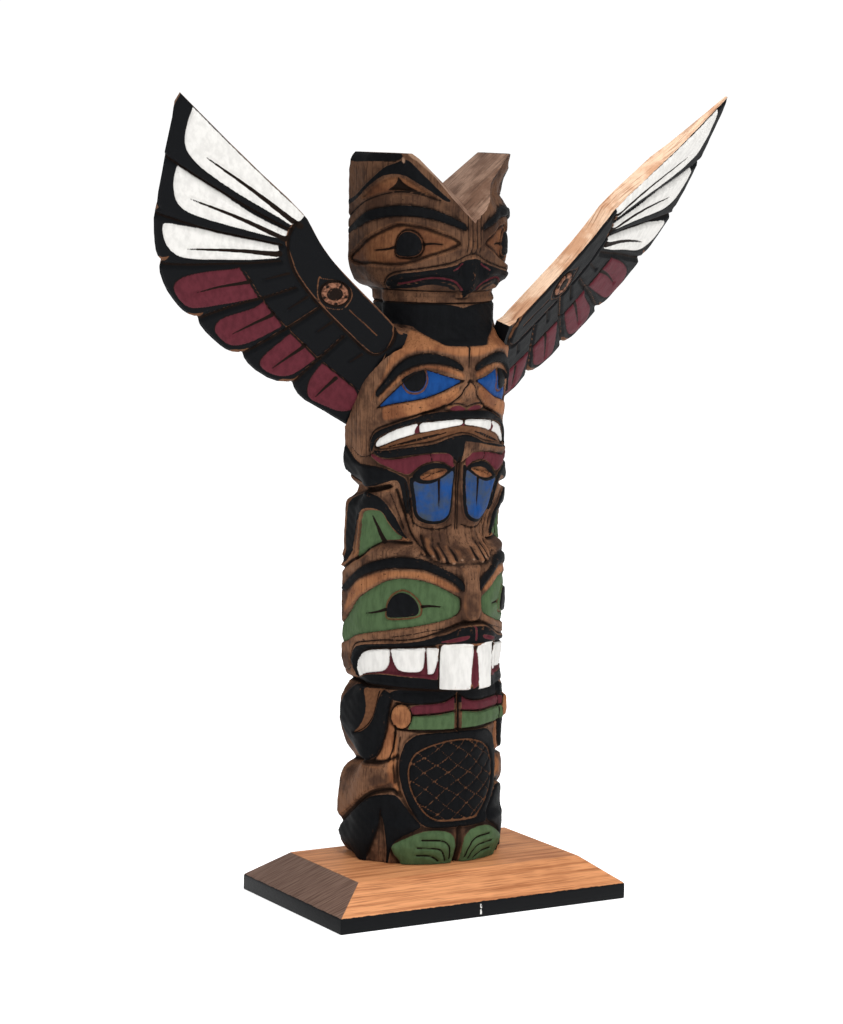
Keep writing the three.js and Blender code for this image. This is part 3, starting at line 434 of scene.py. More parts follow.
# %% The bear's legs and claws
def draw_claws(d):
    for u, low, long in ((3.2, 158.8, 5), (7.6, 157.6, 8), (11.0, 159.2, 6), (15.4, 160.4, 8.5)):
        d.lift([(u - 1.8, low + long), (u - 2.2, low + 3), (u - 1.2, low), (u + 0.6, low), (u + 1.6, low + 3),
                (u + 1.4, low + long)], 0.5, 2.0, crown=0.5)
        d.slit([(u + 2.1, low + 0.6), (u + 1.9, low + 3), (u + 2.8, low + long)], 1.3)
        d.fill("pale", [(u - 0.9, low + 0.9), (u + 0.2, low + 1.0), (u + 0.3, low + 0.3), (u - 0.9, low + 0.1)])
    d.wall([(-4, 157.6), (10, 157.8), (16, 159), (20, 162)], 1.3, 3.5, side=-1)
    for stroke in ([(5, 166), (5.4, 173)], [(9, 167), (9, 172.5)], [(13, 167), (12.6, 172.5)], [(17, 166), (18, 172)]):
        d.cut(stroke, 0.5, 1.8)


def draw_legs(d):
    shin = [(23, 195), (22, 190), (21, 185), (20.5, 180), (18.5, 177.5), (15, 176.2), (11, 176), (7.5, 177),
            (5.4, 179), (4.6, 182), (4.2, 187), (3.6, 193), (3.4, 197), (3.8, 199), (4.5, 198.7), (7, 197),
            (10, 195.2), (16, 193.2), (20, 193.3)]
    rim = [(24.9, 196), (23.6, 189), (22.8, 184), (21.9, 179), (19.6, 176.1), (16, 174.7), (11, 174.4), (6.9, 175.5),
           (4.5, 177.6), (3.3, 181), (2.8, 187), (2.3, 196), (2.1, 202), (4, 201), (4.5, 199), (22, 196)]
    d.lift(rim, 1.3, 1.6, paint="black")
    d.lift(shin, 0.3, 0.8, crown=0.8, paint="blue")
    d.slit([(10.6, 195), (10.4, 189), (10.3, 181.5)], 1.3)
    d.cut([(0.6, 172), (0.4, 188), (0.7, 205)], 0.8, 2.2, 0.35)
    d.cut([(26.6, 194), (25.4, 187), (24.6, 180), (21.4, 174.2), (16, 172.2), (8, 172), (2.6, 174)], 0.7, 1.6, 0.2)


def draw_knees(d):
    rim = [(23.5, 196.2), (21, 199.5), (17, 202), (12, 202.8), (8, 202), (5, 200.5), (4.5, 199.5), (8, 196.5),
           (11, 194.6), (15, 193.1), (18, 193.3), (22, 194.6)]
    lens = [(20.5, 196), (17, 198.7), (13, 200), (9, 200), (6, 199.6), (7.5, 198), (10, 196.3), (14, 194.9),
            (18, 194.8)]
    d.lift(rim, 0.9, 1.0, paint="black")
    d.lift(lens, -0.6, 1.0, crown=0.7)
    d.fill("warm", lens)
    d.cut([(8.6, 198.9), (13, 198), (18.4, 195.6)], 0.3, 0.8, 0.12)
    d.dots([(8, 199), (18, 196.4)], 0.8, 5)
    forearm = [(45, 205.5), (40, 202), (35, 200.5), (30, 198.5), (25, 196.8), (21, 200.5), (17, 202.8), (12, 203.5),
               (8, 203), (6, 201.5), (3, 200), (3.4, 203.5), (5, 206.6), (10, 207), (15, 206.6), (20, 206), (25, 205),
               (30, 204.1), (35, 203.5), (40, 204.4), (44, 206)]
    d.lift(forearm, 0.9, 1.2, crown=0.6, paint="red")
    d.cut([(15, 206.3), (14, 203)], 0.6, 1.2, 0.3)


def draw_shoulders(d):
    band = [(66, 209), (64, 207), (60, 205), (57, 202.5), (52, 200.7), (47, 200.8), (38, 200), (33, 198.5),
            (28, 196.5), (26, 195), (25, 192), (24, 187), (23, 180), (25.8, 178), (27.5, 186), (28.5, 192),
            (30, 194.6), (33, 194.4), (38, 192.4), (44, 190.8), (50, 190.6), (55, 191.6), (62, 194.2), (70, 197)]
    d.lift(band, 0.9, 1.6, paint="black")
    d.lift([(31, 191.5), (36, 190.4), (44, 188.8), (50, 188.9), (44, 191), (36, 192.6)], -1.6, 2.4)
    d.cut([(66, 208), (60, 203.8), (56, 201.6), (50, 200.4), (42, 200.3), (36, 199)], 0.5, 1.3, 0.15)
    d.cut([(70, 196), (62, 193), (55, 190.2), (48, 189), (42, 189.2), (34, 191.4)], 1.3, 2.8, 1.8)
    d.cut([(42, 207), (47, 204), (54, 204), (60, 207.4)], 0.3, 1.0, 0.12)


# %% [markdown]
# The bear's face fills the wider stretch above: brows, eyes in blue fields, a short snout and a long
# mouth with teeth. It is drawn with the same few lines and fills as the beaver's, because both were
# carved with the same knife.

# %% The bear's face
def draw_bear_mouth(d):
    lip_low = [(43.5, 206.7), (38, 204), (30, 205), (20, 206.7), (10, 207.5), (6, 206.7), (4, 204.7), (0, 201.7),
               (-9, 201.7), (-9, 215.8), (3, 215.3), (8, 213.5), (14, 211), (20, 210.3), (30, 208.8), (38, 207.5),
               (43, 207.5)]
    d.lift(lip_low, 1.1, 1.3, crown=0.5, paint="black")
    chin = distance([(-9, 200), (22, 203.6), (32, 203.6), (43, 204), (44, 206), (38, 206.9), (30, 207.6), (22, 208.8),
                     (14, 210.2), (6, 211.8), (-9, 213.4)], d.u, d.z)
    d.paint["black"] = np.where(d.signed > 0.7, np.maximum(d.paint["black"], -chin), d.paint["black"])
    mouth = [(44, 210.4), (42, 212.6), (35, 216.9), (25, 220.4), (18, 221.8), (10, 222.8), (-9, 223.4), (-9, 216.4),
             (3, 216), (8, 214.2), (14, 211.8), (20, 211), (30, 209.5), (38, 208), (43, 207.9)]
    d.lift(mouth, -1.3, 1.1)
    d.fill("brown", [(42, 208.4), (38, 208.4), (30, 209.9), (20, 211.6), (14, 212.6), (8, 215), (0, 216.8), (-9, 217),
                     (-9, 219.8), (5, 219), (15, 216.8), (24, 214.8), (33, 211.9), (38, 209.8)])
    for line in ([(36, 209.2), (24, 212.6), (12, 215.6)], [(30, 210.6), (18, 213.2), (8, 216.4)]):
        d.cut(line, 0.4, 1.0, 0.3)
    teeth = ([(43, 210.5), (42, 212), (40, 213.5), (35, 216.3), (30, 218.3), (25, 219.7), (22.5, 220.4), (22.2, 219.4),
              (23.4, 216), (23.4, 215.5), (28, 214.2), (33, 212.5), (38, 210.4), (42.5, 208.7)],
             [(21.4, 220.5), (18, 221), (10, 221.9), (0.5, 222.5), (0.5, 219.8), (5, 219.4), (10, 218.4), (15, 217.4),
              (20, 216.2), (21, 216.4)])
    for tooth in teeth:
        d.lift(tooth, 0.9, 0.8, crown=0.3, paint="white")
    d.fill("red", [(22.2, 220.6), (24, 215.6), (20.4, 216)], [(0, 221), (1.2, 219), (-1.2, 219)])
    upper = [(44, 206), (45.5, 209), (45, 212), (44, 214.5), (42, 216.3), (38, 218), (30, 221), (25, 222.5),
             (20, 224.3), (15, 225.5), (10, 226.2), (-9, 226), (-9, 222.9), (10, 222.4), (18, 221.5), (25, 220.2),
             (30, 218.8), (35, 216.9), (40, 214.2), (42.6, 212.2), (43.6, 210.4), (43.4, 208.4)]
    d.lift(upper, 0.7, 1.0, crown=0.3, paint="black")
    d.cut([(45, 205), (46.6, 209), (46.2, 212.6), (44.6, 216), (42, 217.8), (38, 219.2), (30, 222.1), (25, 223.5),
           (20, 225.2), (15, 226.5)], 0.7, 1.6, 0.25)


def draw_bear_nose(d):
    nose = [(-9, 226.4), (8, 226.6), (10.5, 228.2), (8.5, 231.4), (5.4, 233.6), (3.6, 237), (2.4, 239.4), (-9, 239.6)]
    d.lift(nose, 1.2, 1.8, crown=1.5)
    d.fill("red", [(1, 226.4), (8.4, 226.5), (7.4, 228.6), (4, 229), (1.4, 227.8), (0.2, 227)])
    d.cut([(8.6, 229.2), (5, 230), (1.5, 229), (0, 228.4)], 0.8, 1.4, 0.25)
    d.cut([(0, 240), (3, 236.5), (3.4, 234), (6, 231.5), (9, 229), (12, 227.5), (15, 226.3), (20, 224.8)], 1.1, 1.9,
          0.35)
    cheek = [(40, 227.5), (35, 228.6), (30, 229.5), (25, 230.3), (20, 231.3), (15, 233), (10, 235.3), (5, 237.8),
             (4.5, 234), (7, 231.6), (10, 229.2), (15, 227.2), (20, 225.6), (25, 224.2), (30, 223), (36, 221.8),
             (40, 221)]
    d.lift(cheek, 0.4, 1.4, crown=0.6)
    d.fill("warm", cheek)
    d.dots([(38, 225), (26, 227.4), (14, 230.6), (7, 234.6)], 1.8, 20)


def draw_bear_eye(d):
    eye = [(43, 226.7), (43, 226.7), (38, 231.5), (34, 235.5), (31, 238.5), (27, 242), (23, 244.3), (20, 244.8),
           (17, 244), (13, 242.8), (8, 241.3), (3, 240.1), (3, 240.1), (8, 237.5), (12, 235.2), (16, 233.3),
           (20, 231.8), (25, 230.7), (30, 229.8), (35, 228.8)]
    pupil = [(31, 240.5), (28, 242.5), (25, 244), (21, 244.8), (20, 244.5), (20, 240), (20.5, 237.5), (22, 235.5),
             (24, 234.8), (27, 235), (29.5, 237), (31.3, 239.7)]
    d.lift(eye, -1.5, 1.2, crown=1.0, paint="blue")
    d.cut(eye, 0.4, 1.2, 0.15, closed=True)
    d.lift(pupil, 0.8, 1.0, crown=0.4, paint="black")
    d.cut([(20.2, 245), (19.2, 241), (19.8, 237), (21.4, 234.8), (24, 233.9), (27.4, 234.2), (30, 236),
           (32, 239)], 0.8, 1.6, 0.9, "brown")
    brow = [(43, 231), (40, 234.5), (37, 238), (34, 241.2), (30, 244.2), (25, 246.5), (20, 247.7), (15, 247.8),
            (10, 247), (6, 245.5), (3, 244), (3, 246.5), (6, 248.6), (10, 250.6), (15, 252), (20, 252.4), (25, 251.5),
            (29, 249.8), (32, 247.5), (35, 245), (38, 241.5), (41, 237.5), (44, 234)]
    d.lift(brow, 0.9, 1.0, crown=0.3, paint="black")
    d.cut(brow, 0.6, 1.3, 0.15, closed=True)
    lid = [(42, 229.6), (38, 234), (34, 238.3), (30, 241.6), (25, 244.9), (20, 246), (15, 245.4), (10, 244), (5, 242),
           (3, 241.4), (3, 243.4), (6, 244.6), (10, 246.2), (15, 247), (20, 246.9), (25, 245.7), (30, 243.2),
           (34, 240.2), (38, 235.6), (42, 231)]
    d.fill("warm", lid)
    d.dots([(38, 235), (32, 242), (25, 245.4), (14, 246)], 0.8, 14)


def draw_bear_forehead(d):
    d.fill("warm", [(47, 228), (42, 238), (38, 246), (35, 253), (32, 258), (28.5, 262), (25, 262), (20, 260),
                    (15, 257.8), (12, 256.2), (10, 255.5), (-9, 255.4), (-9, 252), (4, 250.8), (10, 252.4),
                    (15, 253.6), (20, 254), (26, 253), (32, 249.6), (38, 243.6), (43, 236.6)])
    d.slit([(0, 255.2), (0, 251), (0, 246)], 0.9, 0.5)
    neck = [(-9, 255.4), (10, 255.5), (12, 256.2), (15, 257.8), (20, 260), (25, 262.2), (28, 264.4), (70, 266),
            (70, 274.4), (-9, 274.8)]
    d.fill("black", neck)
    shelf = distance([(31, 256), (34, 262), (39, 265.5), (58, 266), (58, 257), (46, 253.5)], d.u, d.z)
    rise = 3.4  # the shelf's height, and the width of its slope
    d.relief += np.where(d.signed < 0, rise * smooth(0.5 - shelf / rise), 0)
    d.wall([(-4, 255), (10, 255.2), (16, 257.8), (25, 261.8), (34, 264)], 0.7, 3.0)


# %% [markdown]
# The top head has a hooked beak and a crest cut into two horns. Its eyes are left as bare stained wood
# inside black brows, and a chevron is cut at the root of each horn.

# %% The top head
BEAK_RISE = [[276.5, 0], [277.5, 3.2], [280, 4.2], [286, 4.0], [291, 3.2], [295, 1.6], [297, 0]]


def draw_beak(d):
    beak = [(43, 281.6), (42, 283.6), (40, 285.2), (35, 287.2), (30, 288), (25, 288.5), (20, 289.3), (15, 290.2),
            (10, 291.2), (6, 292.7), (3, 294.5), (-9, 295.9), (-9, 279), (4.4, 279), (5.5, 281), (7, 282.6),
            (10, 283.6), (15, 284.6), (20, 284.4), (24, 283.8), (29, 282.8), (36, 281.9), (42, 281.2)]
    d.fill("black", beak)
    ridge = np.clip(1 - np.abs(d.signed + 0.6) / 4.6, 0, 1)
    d.relief += table(BEAK_RISE, d.z) * ridge
    d.colour("black", np.where(d.z < 285, (np.abs(d.signed + 0.6) - np.clip((d.z - 276.2) * 0.8, 0, 4.4)), FAR))
    d.lift([(7, 285.6), (10, 286.9), (15, 287.4), (20, 287), (24, 286.3), (30, 285.2), (40, 283.2), (42, 283.4),
            (38, 286.6), (30, 288.2), (20, 289.6), (10, 291.6), (6, 293)], 1.1, 1.2, crown=0.4)
    d.cut([(36, 282.8), (33, 283), (28, 284), (24, 285), (20, 285.8), (15, 286), (10, 285.3), (7, 284), (5, 282),
           (4, 280.4)], 0.9, 1.7, 0.8, "red")
    lens = [(9, 281.6), (13, 282.2), (17, 282.6), (22, 282.2), (27, 281), (20, 280.8), (14, 280.6)]
    d.fill("black", [(42, 281.2), (35, 282), (27, 282.8), (22, 284), (17, 284.6), (13, 283.8), (10, 282.8), (7, 281.3),
                     (7, 280), (10, 281.2), (13, 282.2), (17, 283), (22, 282.4), (27, 281.2), (35, 280.6),
                     (42, 280)])
    d.bare(lens)
    d.cut([(9, 289.4), (6.5, 290.8), (4.6, 292.6)], 0.8, 1.6, 0.6, "red")
    d.cut([(44, 280.6), (42.6, 284.6), (38, 287.8), (30, 289.2), (25, 289.8), (20, 290.6), (15, 291.6), (10, 292.8),
           (6, 294.4), (3, 296.4), (-4, 297.4)], 0.5, 1.5, 0.15)
    d.cut([(6, 279.7), (70, 279.9)], 0.9, 1.6, 0.4)
    d.cut([(-4, 274.3), (70, 273.9)], 0.9, 1.6, 0.5)
    d.cut([(-4, 277.4), (28, 277.2)], 0.5, 4.0)
    d.dots([(38, 289), (26, 291), (12, 294)], 0.8, 7)


def draw_top_eye(d):
    socket = [(60, 291), (57, 290.7), (50, 291.3), (40, 291), (35, 291.2), (30, 292), (25, 293.5), (20, 295.3),
              (15, 297), (10, 299), (7, 300.5), (6, 301.5), (8, 303.2), (10, 304.3), (15, 306), (20, 307.7),
              (25, 308.6), (30, 309), (34, 309.5), (38, 308.8), (45, 305.8), (50, 303.2), (55, 300.5), (60, 297.3),
              (65, 294.5), (66, 292)]
    pupil = [(36.5, 299), (36, 296.5), (34.5, 295.3), (30, 295), (26, 295.5), (24, 297), (23.3, 299.5), (24, 303),
             (26.5, 305.3), (30, 306.3), (33, 305.8), (35.7, 303)]
    d.lift(socket, -2.3, 1.5, crown=1.9, paint="warm")
    d.cut(socket, 0.4, 1.6, closed=True)
    d.lift(pupil, 0.6, 1.0, crown=0.5, paint="black")
    d.cut([(u + (u - 30) * 0.12, z + (z - 300.5) * 0.14) for u, z in pupil], 0.9, 1.6, 0.2, closed=True)
    d.slit([(37.6, 299), (41.5, 297.9), (47, 297.4)], 1.1)
    d.slit([(23, 300.6), (19, 301.2), (14, 300.9)], 1.1)
    brow = [(67, 303.8), (64, 305.5), (60, 306.3), (55, 308.5), (50, 310.3), (45, 311.5), (40, 312.5), (30, 313.2),
            (20, 312.2), (15, 311), (10, 309.3), (6, 307.8), (4, 306.5), (4, 309.8), (6, 311), (10, 313), (15, 315.3),
            (20, 316.8), (25, 317.5), (30, 317.9), (35, 317.8), (40, 317.3), (45, 316.5), (50, 315), (55, 312.8),
            (60, 310.3), (63, 308.5), (68, 305.8)]
    d.lift(brow, 0.8, 1.0, crown=0.3, paint="black")
    d.cut(brow, 0.6, 1.3, 0.15, closed=True)
    d.cut([(70, 309.6), (62, 315), (55, 318.3), (50, 320.3), (45, 322), (40, 323.2), (35, 323.7), (30, 323.5),
           (25, 322.8), (20, 321.6), (15, 320.3)], 0.9, 2.0, 0.2)
    d.dots([(48, 317), (30, 320.6), (18, 318.6)], 0.9, 5)
    d.dots([(1, 299), (2.5, 312)], 1.4, 4)


def draw_horns(d):
    arch = [(67, 317), (64, 318), (60, 319.5), (57, 321), (50, 326), (45, 329.5), (41, 331.2), (37, 331.6),
            (33, 331.3), (30, 330.3), (25, 327.5), (20, 324.5), (15, 321.5), (12.6, 319.8), (10, 319.8), (15, 324),
            (20, 328.8), (24, 332.5), (27.5, 336), (30, 338), (33, 337.8), (37, 336), (41, 335), (45, 332), (50, 328),
            (55, 324.5), (60, 321.4), (64, 320), (68, 319)]
    d.lift(arch, 0.7, 1.0, crown=0.3, paint="black")
    chevron = [(57, 319.8), (50, 324.5), (45, 327.8), (41, 329.8), (37, 330.3), (33, 329.9), (30, 329), (25, 326.2),
               (20, 323.2), (16, 321.2), (20, 322.4), (25, 323.8), (30, 324.6), (35, 324.8), (40, 324.2), (45, 323),
               (50, 321.3)]
    d.lift(chevron, -0.7, 1.2)
    d.fill("warm", chevron)
    slit = [(35.6, 330), (35.6, 330), (37, 327), (41, 324.4), (41, 324.4), (32, 324.7), (22.5, 322.8), (22.5, 322.8),
            (28, 325), (33, 327.4)]
    d.lift(slit, -1.2, 1.4)
    d.fill("dark", slit)
    d.fill("black", [(32.5, 337.4), (48, 337), (70, 336), (70, 343), (32.5, 342)])
    d.fill("pale", [(31.2, 336.4), (32.4, 336.6), (33, 338.8), (31.8, 339)])
    d.cut([(63, 337), (48, 337), (36, 337.2)], 0.25, 0.9, 0.2)
    d.fill("pale", [(31, 343), (25, 339), (20, 334.5), (15, 330.4), (11.5, 327), (10.6, 325.4), (15, 328.4),
                    (20, 332.6), (25, 337), (30, 340)])
    for u in (3.2, 1.1):
        d.cut([(u, 297.5), (u * 0.9, 306), (u, 316)], 0.5, 1.3, 0.1)
    d.lift([(-9, 298), (3.5, 298), (4.4, 306), (6.6, 312), (10, 318), (12, 330), (-9, 330)], 0.6, 2.0, crown=0.6)


FIGURES = (draw_feet, draw_thigh, draw_tail, draw_arms, draw_hands, draw_beaver_mouth, draw_beaver_nose,
           draw_beaver_eye, draw_beaver_brow, draw_ear, draw_claws, draw_legs, draw_knees, draw_shoulders,
           draw_bear_mouth, draw_bear_nose, draw_bear_eye, draw_bear_forehead, draw_beak, draw_top_eye, draw_horns)
print("drawn parts", len(FIGURES))

# %% [markdown]
# ## Wrapping the sheet round the post
#
# The carved side starts as a flat grid. Each of its points is first nudged onto the nearest knife line,
# so that a groove's bottom is never lost between two points, and then wrapped round the post and
# raised or sunk by the drawing. The cross section is a quarter oval on each side of the front, then a
# flat side back to the sawn back. The tables give how it swells and pulls in from foot to horns.

# %% The post's section
FRONT_LINE = [
    [19, -17.5], [27, -21], [36.5, -21.5], [40, -18], [57, -17.3], [80, -18.4], [98, -18.1], [101, -28.5],
    [125, -28.5], [137, -28.7], [150, -27.8], [157.5, -26.8], [161, -22], [165, -16.5], [170, -13.9],
    [192, -13.8], [203, -14.8], [212, -16.5], [221, -19.4], [228, -18.8], [240, -23.6], [246, -22.2],
    [255, -22.6], [258.5, -18], [264, -15.8], [278.3, -15.5], [280.5, -20.5], [285, -22.8], [295, -23.2],
    [299, -24.6], [308, -23.8], [317, -23.5], [345, -23]]
HALF_WIDTH = [
    [19, 37], [254, 37], [258, 33], [262, 30.5], [266, 29], [278.5, 29], [280, 30.5], [283, 34.5],
    [287, 36.2], [292, 37], [345, 37]]
SIDE_BULGE = [ [19, -4.8], [21, -3], [24, -1.3], [27.5, -0.4], [31, -0.6], [35, -1.2], [38, -0.6], [44, -0.9],
              [52, -1.8], [55, -2.4], [58, -3.8], [60, -5.5], [62.5, -7.6], [64, -7.6], [66, -6], [69, -3.6],
              [72, -2.5], [76, -1], [81, 0.4], [88, 0.2], [92, -0.4], [95, -2], [98, -4.2], [100, -4.6], [103, -2.2],
              [106, -1], [110, 0.2], [140, 0.4], [153, 0.2], [156, -0.6], [160, -2.2], [175, -2.7], [181, -2.9],
              [183.5, -4], [186, -7], [188.7, -8], [191.6, -4.6], [195, -2.2], [200, -0.4], [216, 0], [258, 0],
              [264, -5], [270, -6], [279, -5], [281, -1.5], [292, -0.2], [333, 0], [337.5, -0.8], [339.5, -1.8],
              [341, -3.4]]
# how much the post's front corners are pared away, and how much more the right horn's outer side
CORNER_PARED = [
    [19, 0], [33, 0.5], [42, 0.9], [51, 0], [71, 1.4], [92, 0.9], [96, 1.4], [104, 3.2], [110, 3.4], [120, 2.4],
    [132, 2.9], [142, 2.5], [151, 2.3], [158, 3], [162, 1.4], [166, 3.2], [171, 3.9], [177, 3.6], [182, 1.8],
    [187, 0.9], [194, -0.5], [201, 0.5], [210, 1.6], [220, 2.5], [232, 1.4], [239, 1.8], [248, 1.2], [257, 0.6],
    [276, 0.5], [283, 3.2], [289, 1.8], [298, 3.2], [312, 3.5], [318, 3.9], [323, 3.6], [330, 2.8], [341, 1.5]]
HORN_PARED = [[316, 0], [320, 2.5], [323, 4.3], [326, 4.2], [330, 3.2], [334, 1.5], [341, 0.9]]
GIRTH, SIDE_DEPTH, SHOULDER, BACK, EDGE_GIRTH = 70, 16, 12, 25, 66.9
LEVELS = (19, 340.8)
FOOT, TOP = (corner[2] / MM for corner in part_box("pole"))


def table(pairs, at):
    return np.interp(at, *np.array(pairs, float).T)


def pole_place(u, z, relief):
    """Where a drawn place lies in space, in metres."""
    half, reach = table(HALF_WIDTH, z), SHOULDER - table(FRONT_LINE, z)
    relief = relief + table(SIDE_BULGE, z) * smooth((np.abs(u) - 44) / 14)
    relief = relief - table(CORNER_PARED, z) * smooth((np.abs(u) - 8) / 14) * smooth((54 - np.abs(u)) / 18)
    relief = relief - table(HORN_PARED, z) * smooth((u - 6) / 10) * smooth((62 - u) / 16)
    parts = 24
    turns = np.linspace(0, math.pi / 2, parts + 1)
    steps = np.hypot(np.diff(half[:, None] * np.sin(turns)), np.diff(reach[:, None] * np.cos(turns)))
    lengths = np.hstack([np.zeros((len(u), 1)), np.cumsum(steps, 1)])
    wanted = np.abs(u) / GIRTH * (lengths[:, -1] + SIDE_DEPTH)
    k = np.clip((lengths <= wanted[:, None]).sum(1) - 1, 0, parts - 1)
    row = np.arange(len(u))
    part = np.clip((wanted - lengths[row, k]) / steps[row, k], 0, 1)
    turn = (k + part) * turns[1]
    x, y = half * np.sin(turn), SHOULDER - reach * np.cos(turn)
    nx, ny = x / half**2, (y - SHOULDER) / reach**2
    size = np.hypot(nx, ny)
    beside = wanted >= lengths[:, -1]
    x = np.where(beside, half + relief, x + relief * nx / size)
    y = np.where(beside, np.minimum(BACK, SHOULDER + wanted - lengths[:, -1]), y + relief * ny / size)
    height = FOOT + (z - LEVELS[0]) / (LEVELS[1] - LEVELS[0]) * (TOP - FOOT)
    return np.stack([np.sign(u) * x, y, height], 1) * MM


def draw_pole(u, z):
    d = Drawing(u, z, POLE_PAINTS)
    for draw in FIGURES:
        draw(d)
    # the cuts run out before the flat sides of the top head, and before the notch
    sides = smooth((d.u - 57) / 7) * smooth((z - 262) / 6)
    d.relief -= 0.85 * sides * np.maximum(d.relief, 0)
    crest = smooth(1.3 - distance([(9, 318), (32, 341)], d.u, z, False) / 3)
    right = smooth((u - 2) / 4) * smooth((40 - u) / 6) * smooth((z - 317) / 4)
    d.relief += (0.4 - d.relief) * np.maximum(crest, right)
    for paint in ("black", "warm", "dark", "pale"):
        d.paint[paint] = np.where(right > 0.5, FAR, d.paint[paint])
    # no hand keeps both halves quite alike, or a surface quite even
    d.relief += 0.10 * np.sin(u * 0.31 + z * 0.17) * np.sin(z * 0.23 - u * 0.11) + 0.06 * np.sin(u * 0.9 + 1.3 * z)
    return d


def nudge(lines, u, z, reach):
    """Moves the points that lie within reach of a knife line onto it."""
    for line in lines:
        near = np.flatnonzero((np.abs(u) > line[:, 0].min() - reach) & (np.abs(u) < line[:, 0].max() + reach)
                              & (z > line[:, 1].min() - reach) & (z < line[:, 1].max() + reach))
        for (a, b), (c, d) in zip(line[:-1], line[1:]):
            p, q = np.abs(u[near]), z[near]
            du, dz = c - a, d - b
            t = np.clip(((p - a) * du + (q - b) * dz) / max(du * du + dz * dz, 1e-9), 0, 1)
            off_u, off_z = p - a - t * du, q - b - t * dz
            hit = np.hypot(off_u, off_z) < reach
            u[near[hit]] -= (np.sign(u[near]) * off_u)[hit]
            z[near[hit]] -= off_z[hit]


# %% [markdown]
# The solids are made with bmesh and cut with Booleans. These few helpers keep each such step to a line
# or two, and the report after each solid prints its triangles and its box.

# %% Mesh helpers
def coordinates(mesh):
    flat = np.empty(len(mesh.vertices) * 3, np.float32)
    mesh.vertices.foreach_get("co", flat)
    return flat.reshape(-1, 3).astype(float)


def new_object(name, form):
    """An object from a bmesh; it stays at the origin, and its place is in its mesh."""
    mesh = bpy.data.meshes.new(name)
    form.to_mesh(mesh)
    form.free()
    piece = bpy.data.objects.new(name, mesh)
    bpy.context.scene.collection.objects.link(piece)
    return piece


def combine(piece, tool, operation):
    """Cuts a piece with a tool, or keeps what both share; the tool is then thrown away."""
    change = piece.modifiers.new(operation, "BOOLEAN")
    change.object, change.operation, change.solver = tool, operation, "MANIFOLD"
    change.material_mode = "INDEX"
    cut = bpy.data.meshes.new_from_object(piece.evaluated_get(bpy.context.evaluated_depsgraph_get()))
    piece.modifiers.clear()
    old, piece.data = piece.data, cut
    bpy.data.meshes.remove(old)
    cut.name = piece.name
    bpy.data.objects.remove(tool)


def set_attributes(mesh, values):
    for name, array in values.items():
        made = mesh.attributes.get(name) or mesh.attributes.new(name, "FLOAT", "POINT")
        made.data.foreach_set("value", np.asarray(array, np.float32))


def set_finishes(mesh, *finishes):
    """Gives a mesh its finishes in order; a cut mesh already has empty places for them."""
    for k, finish in enumerate(finishes):
        if k < len(mesh.materials):
            mesh.materials[k] = finish
        else:
            mesh.materials.append(finish)


def report(piece):
    low, high = coordinates(piece.data).min(0) / MM, coordinates(piece.data).max(0) / MM
    faces = sum(len(face.vertices) - 2 for face in piece.data.polygons)
    print(piece.name, faces, "triangles,", np.round(low, 1), "to", np.round(high, 1))


# %% [markdown]
# The front is a fine grid, bent round the section and raised and sunk by the drawing. It could be a
# displacement at render time, but then a cut would not meet the carved surface, so the points are
# really moved, and flat faces close the sheet behind and at both ends.

# %% The carved sheet, closed at the back
SURFACE, BARE, BEHIND = 0, 1, 2  # material places on a carved piece
ACROSS, ALONG = 192, 470  # cells of the grid
INNER = (0.75, 45)  # three quarters of the columns lie within this girth, where the carving is finest
NUDGE = 0.28  # mm

form = bmesh.new()
bmesh.ops.create_grid(form, x_segments=ACROSS, y_segments=ALONG, size=0.5)
sheet_map = form.loops.layers.uv.new("sheet")
places = np.array([vert.co for vert in form.verts])
u = np.sign(places[:, 0]) * np.interp(np.abs(places[:, 0]) * 2, [0, INNER[0], 1], [0, INNER[1], EDGE_GIRTH])
z = LEVELS[0] + (places[:, 1] + 0.5) * (LEVELS[1] - LEVELS[0])
border = np.array([vert.is_boundary for vert in form.verts])
pencil = draw_pole(u[:1], z[:1])
moved_u, moved_z = u.copy(), z.copy()
nudge(pencil.lines, moved_u, moved_z, NUDGE)
u, z = np.where(border, u, moved_u), np.where(border, z, moved_z)
for vert, place in zip(form.verts, pole_place(u, z, draw_pole(u, z).relief)):
    vert.co = place
for face in form.faces:
    for corner in face.loops:
        k = corner.vert.index
        corner[sheet_map].uv = (0.5 + u[k] / (2 * GIRTH), z[k] / (2 * GIRTH))
drawn_faces = set(form.faces)
rims = [edge for edge in form.edges if edge.is_boundary
        and abs(edge.verts[0].co.x - edge.verts[1].co.x) < 4 * MM
        and min(vert.co.y for vert in edge.verts) > (BACK - 0.5) * MM]
bmesh.ops.bridge_loops(form, edges=rims)
bmesh.ops.holes_fill(form, edges=[edge for edge in form.edges if edge.is_boundary], sides=0)
for face in set(form.faces) - drawn_faces:
    face.material_index = BEHIND
bmesh.ops.recalc_face_normals(form, faces=form.faces)
print("sheet", len(form.faces), "faces, open edges", sum(edge.is_boundary for edge in form.edges))
pole = new_object("pole_carved", form)
report(pole)

# %% [markdown]
# ## The notch between the horns
#
# The crest is split by a deep V with slanting sides, wider where it opens to the front and again to the
# back. It is cut with three simple wedges, and the faces that the wedges leave are marked, because
# there the wood is bare.

# %% Cutting the notch
NOTCH_FLOOR, NOTCH_HALF, FLARE, FLARE_DEPTH, FLARE_MIDDLE = 319, 25.5, 9, 6, -19.5
NOTCH_REAR, REAR_FLARE = 4, 7  # behind this depth the notch opens again


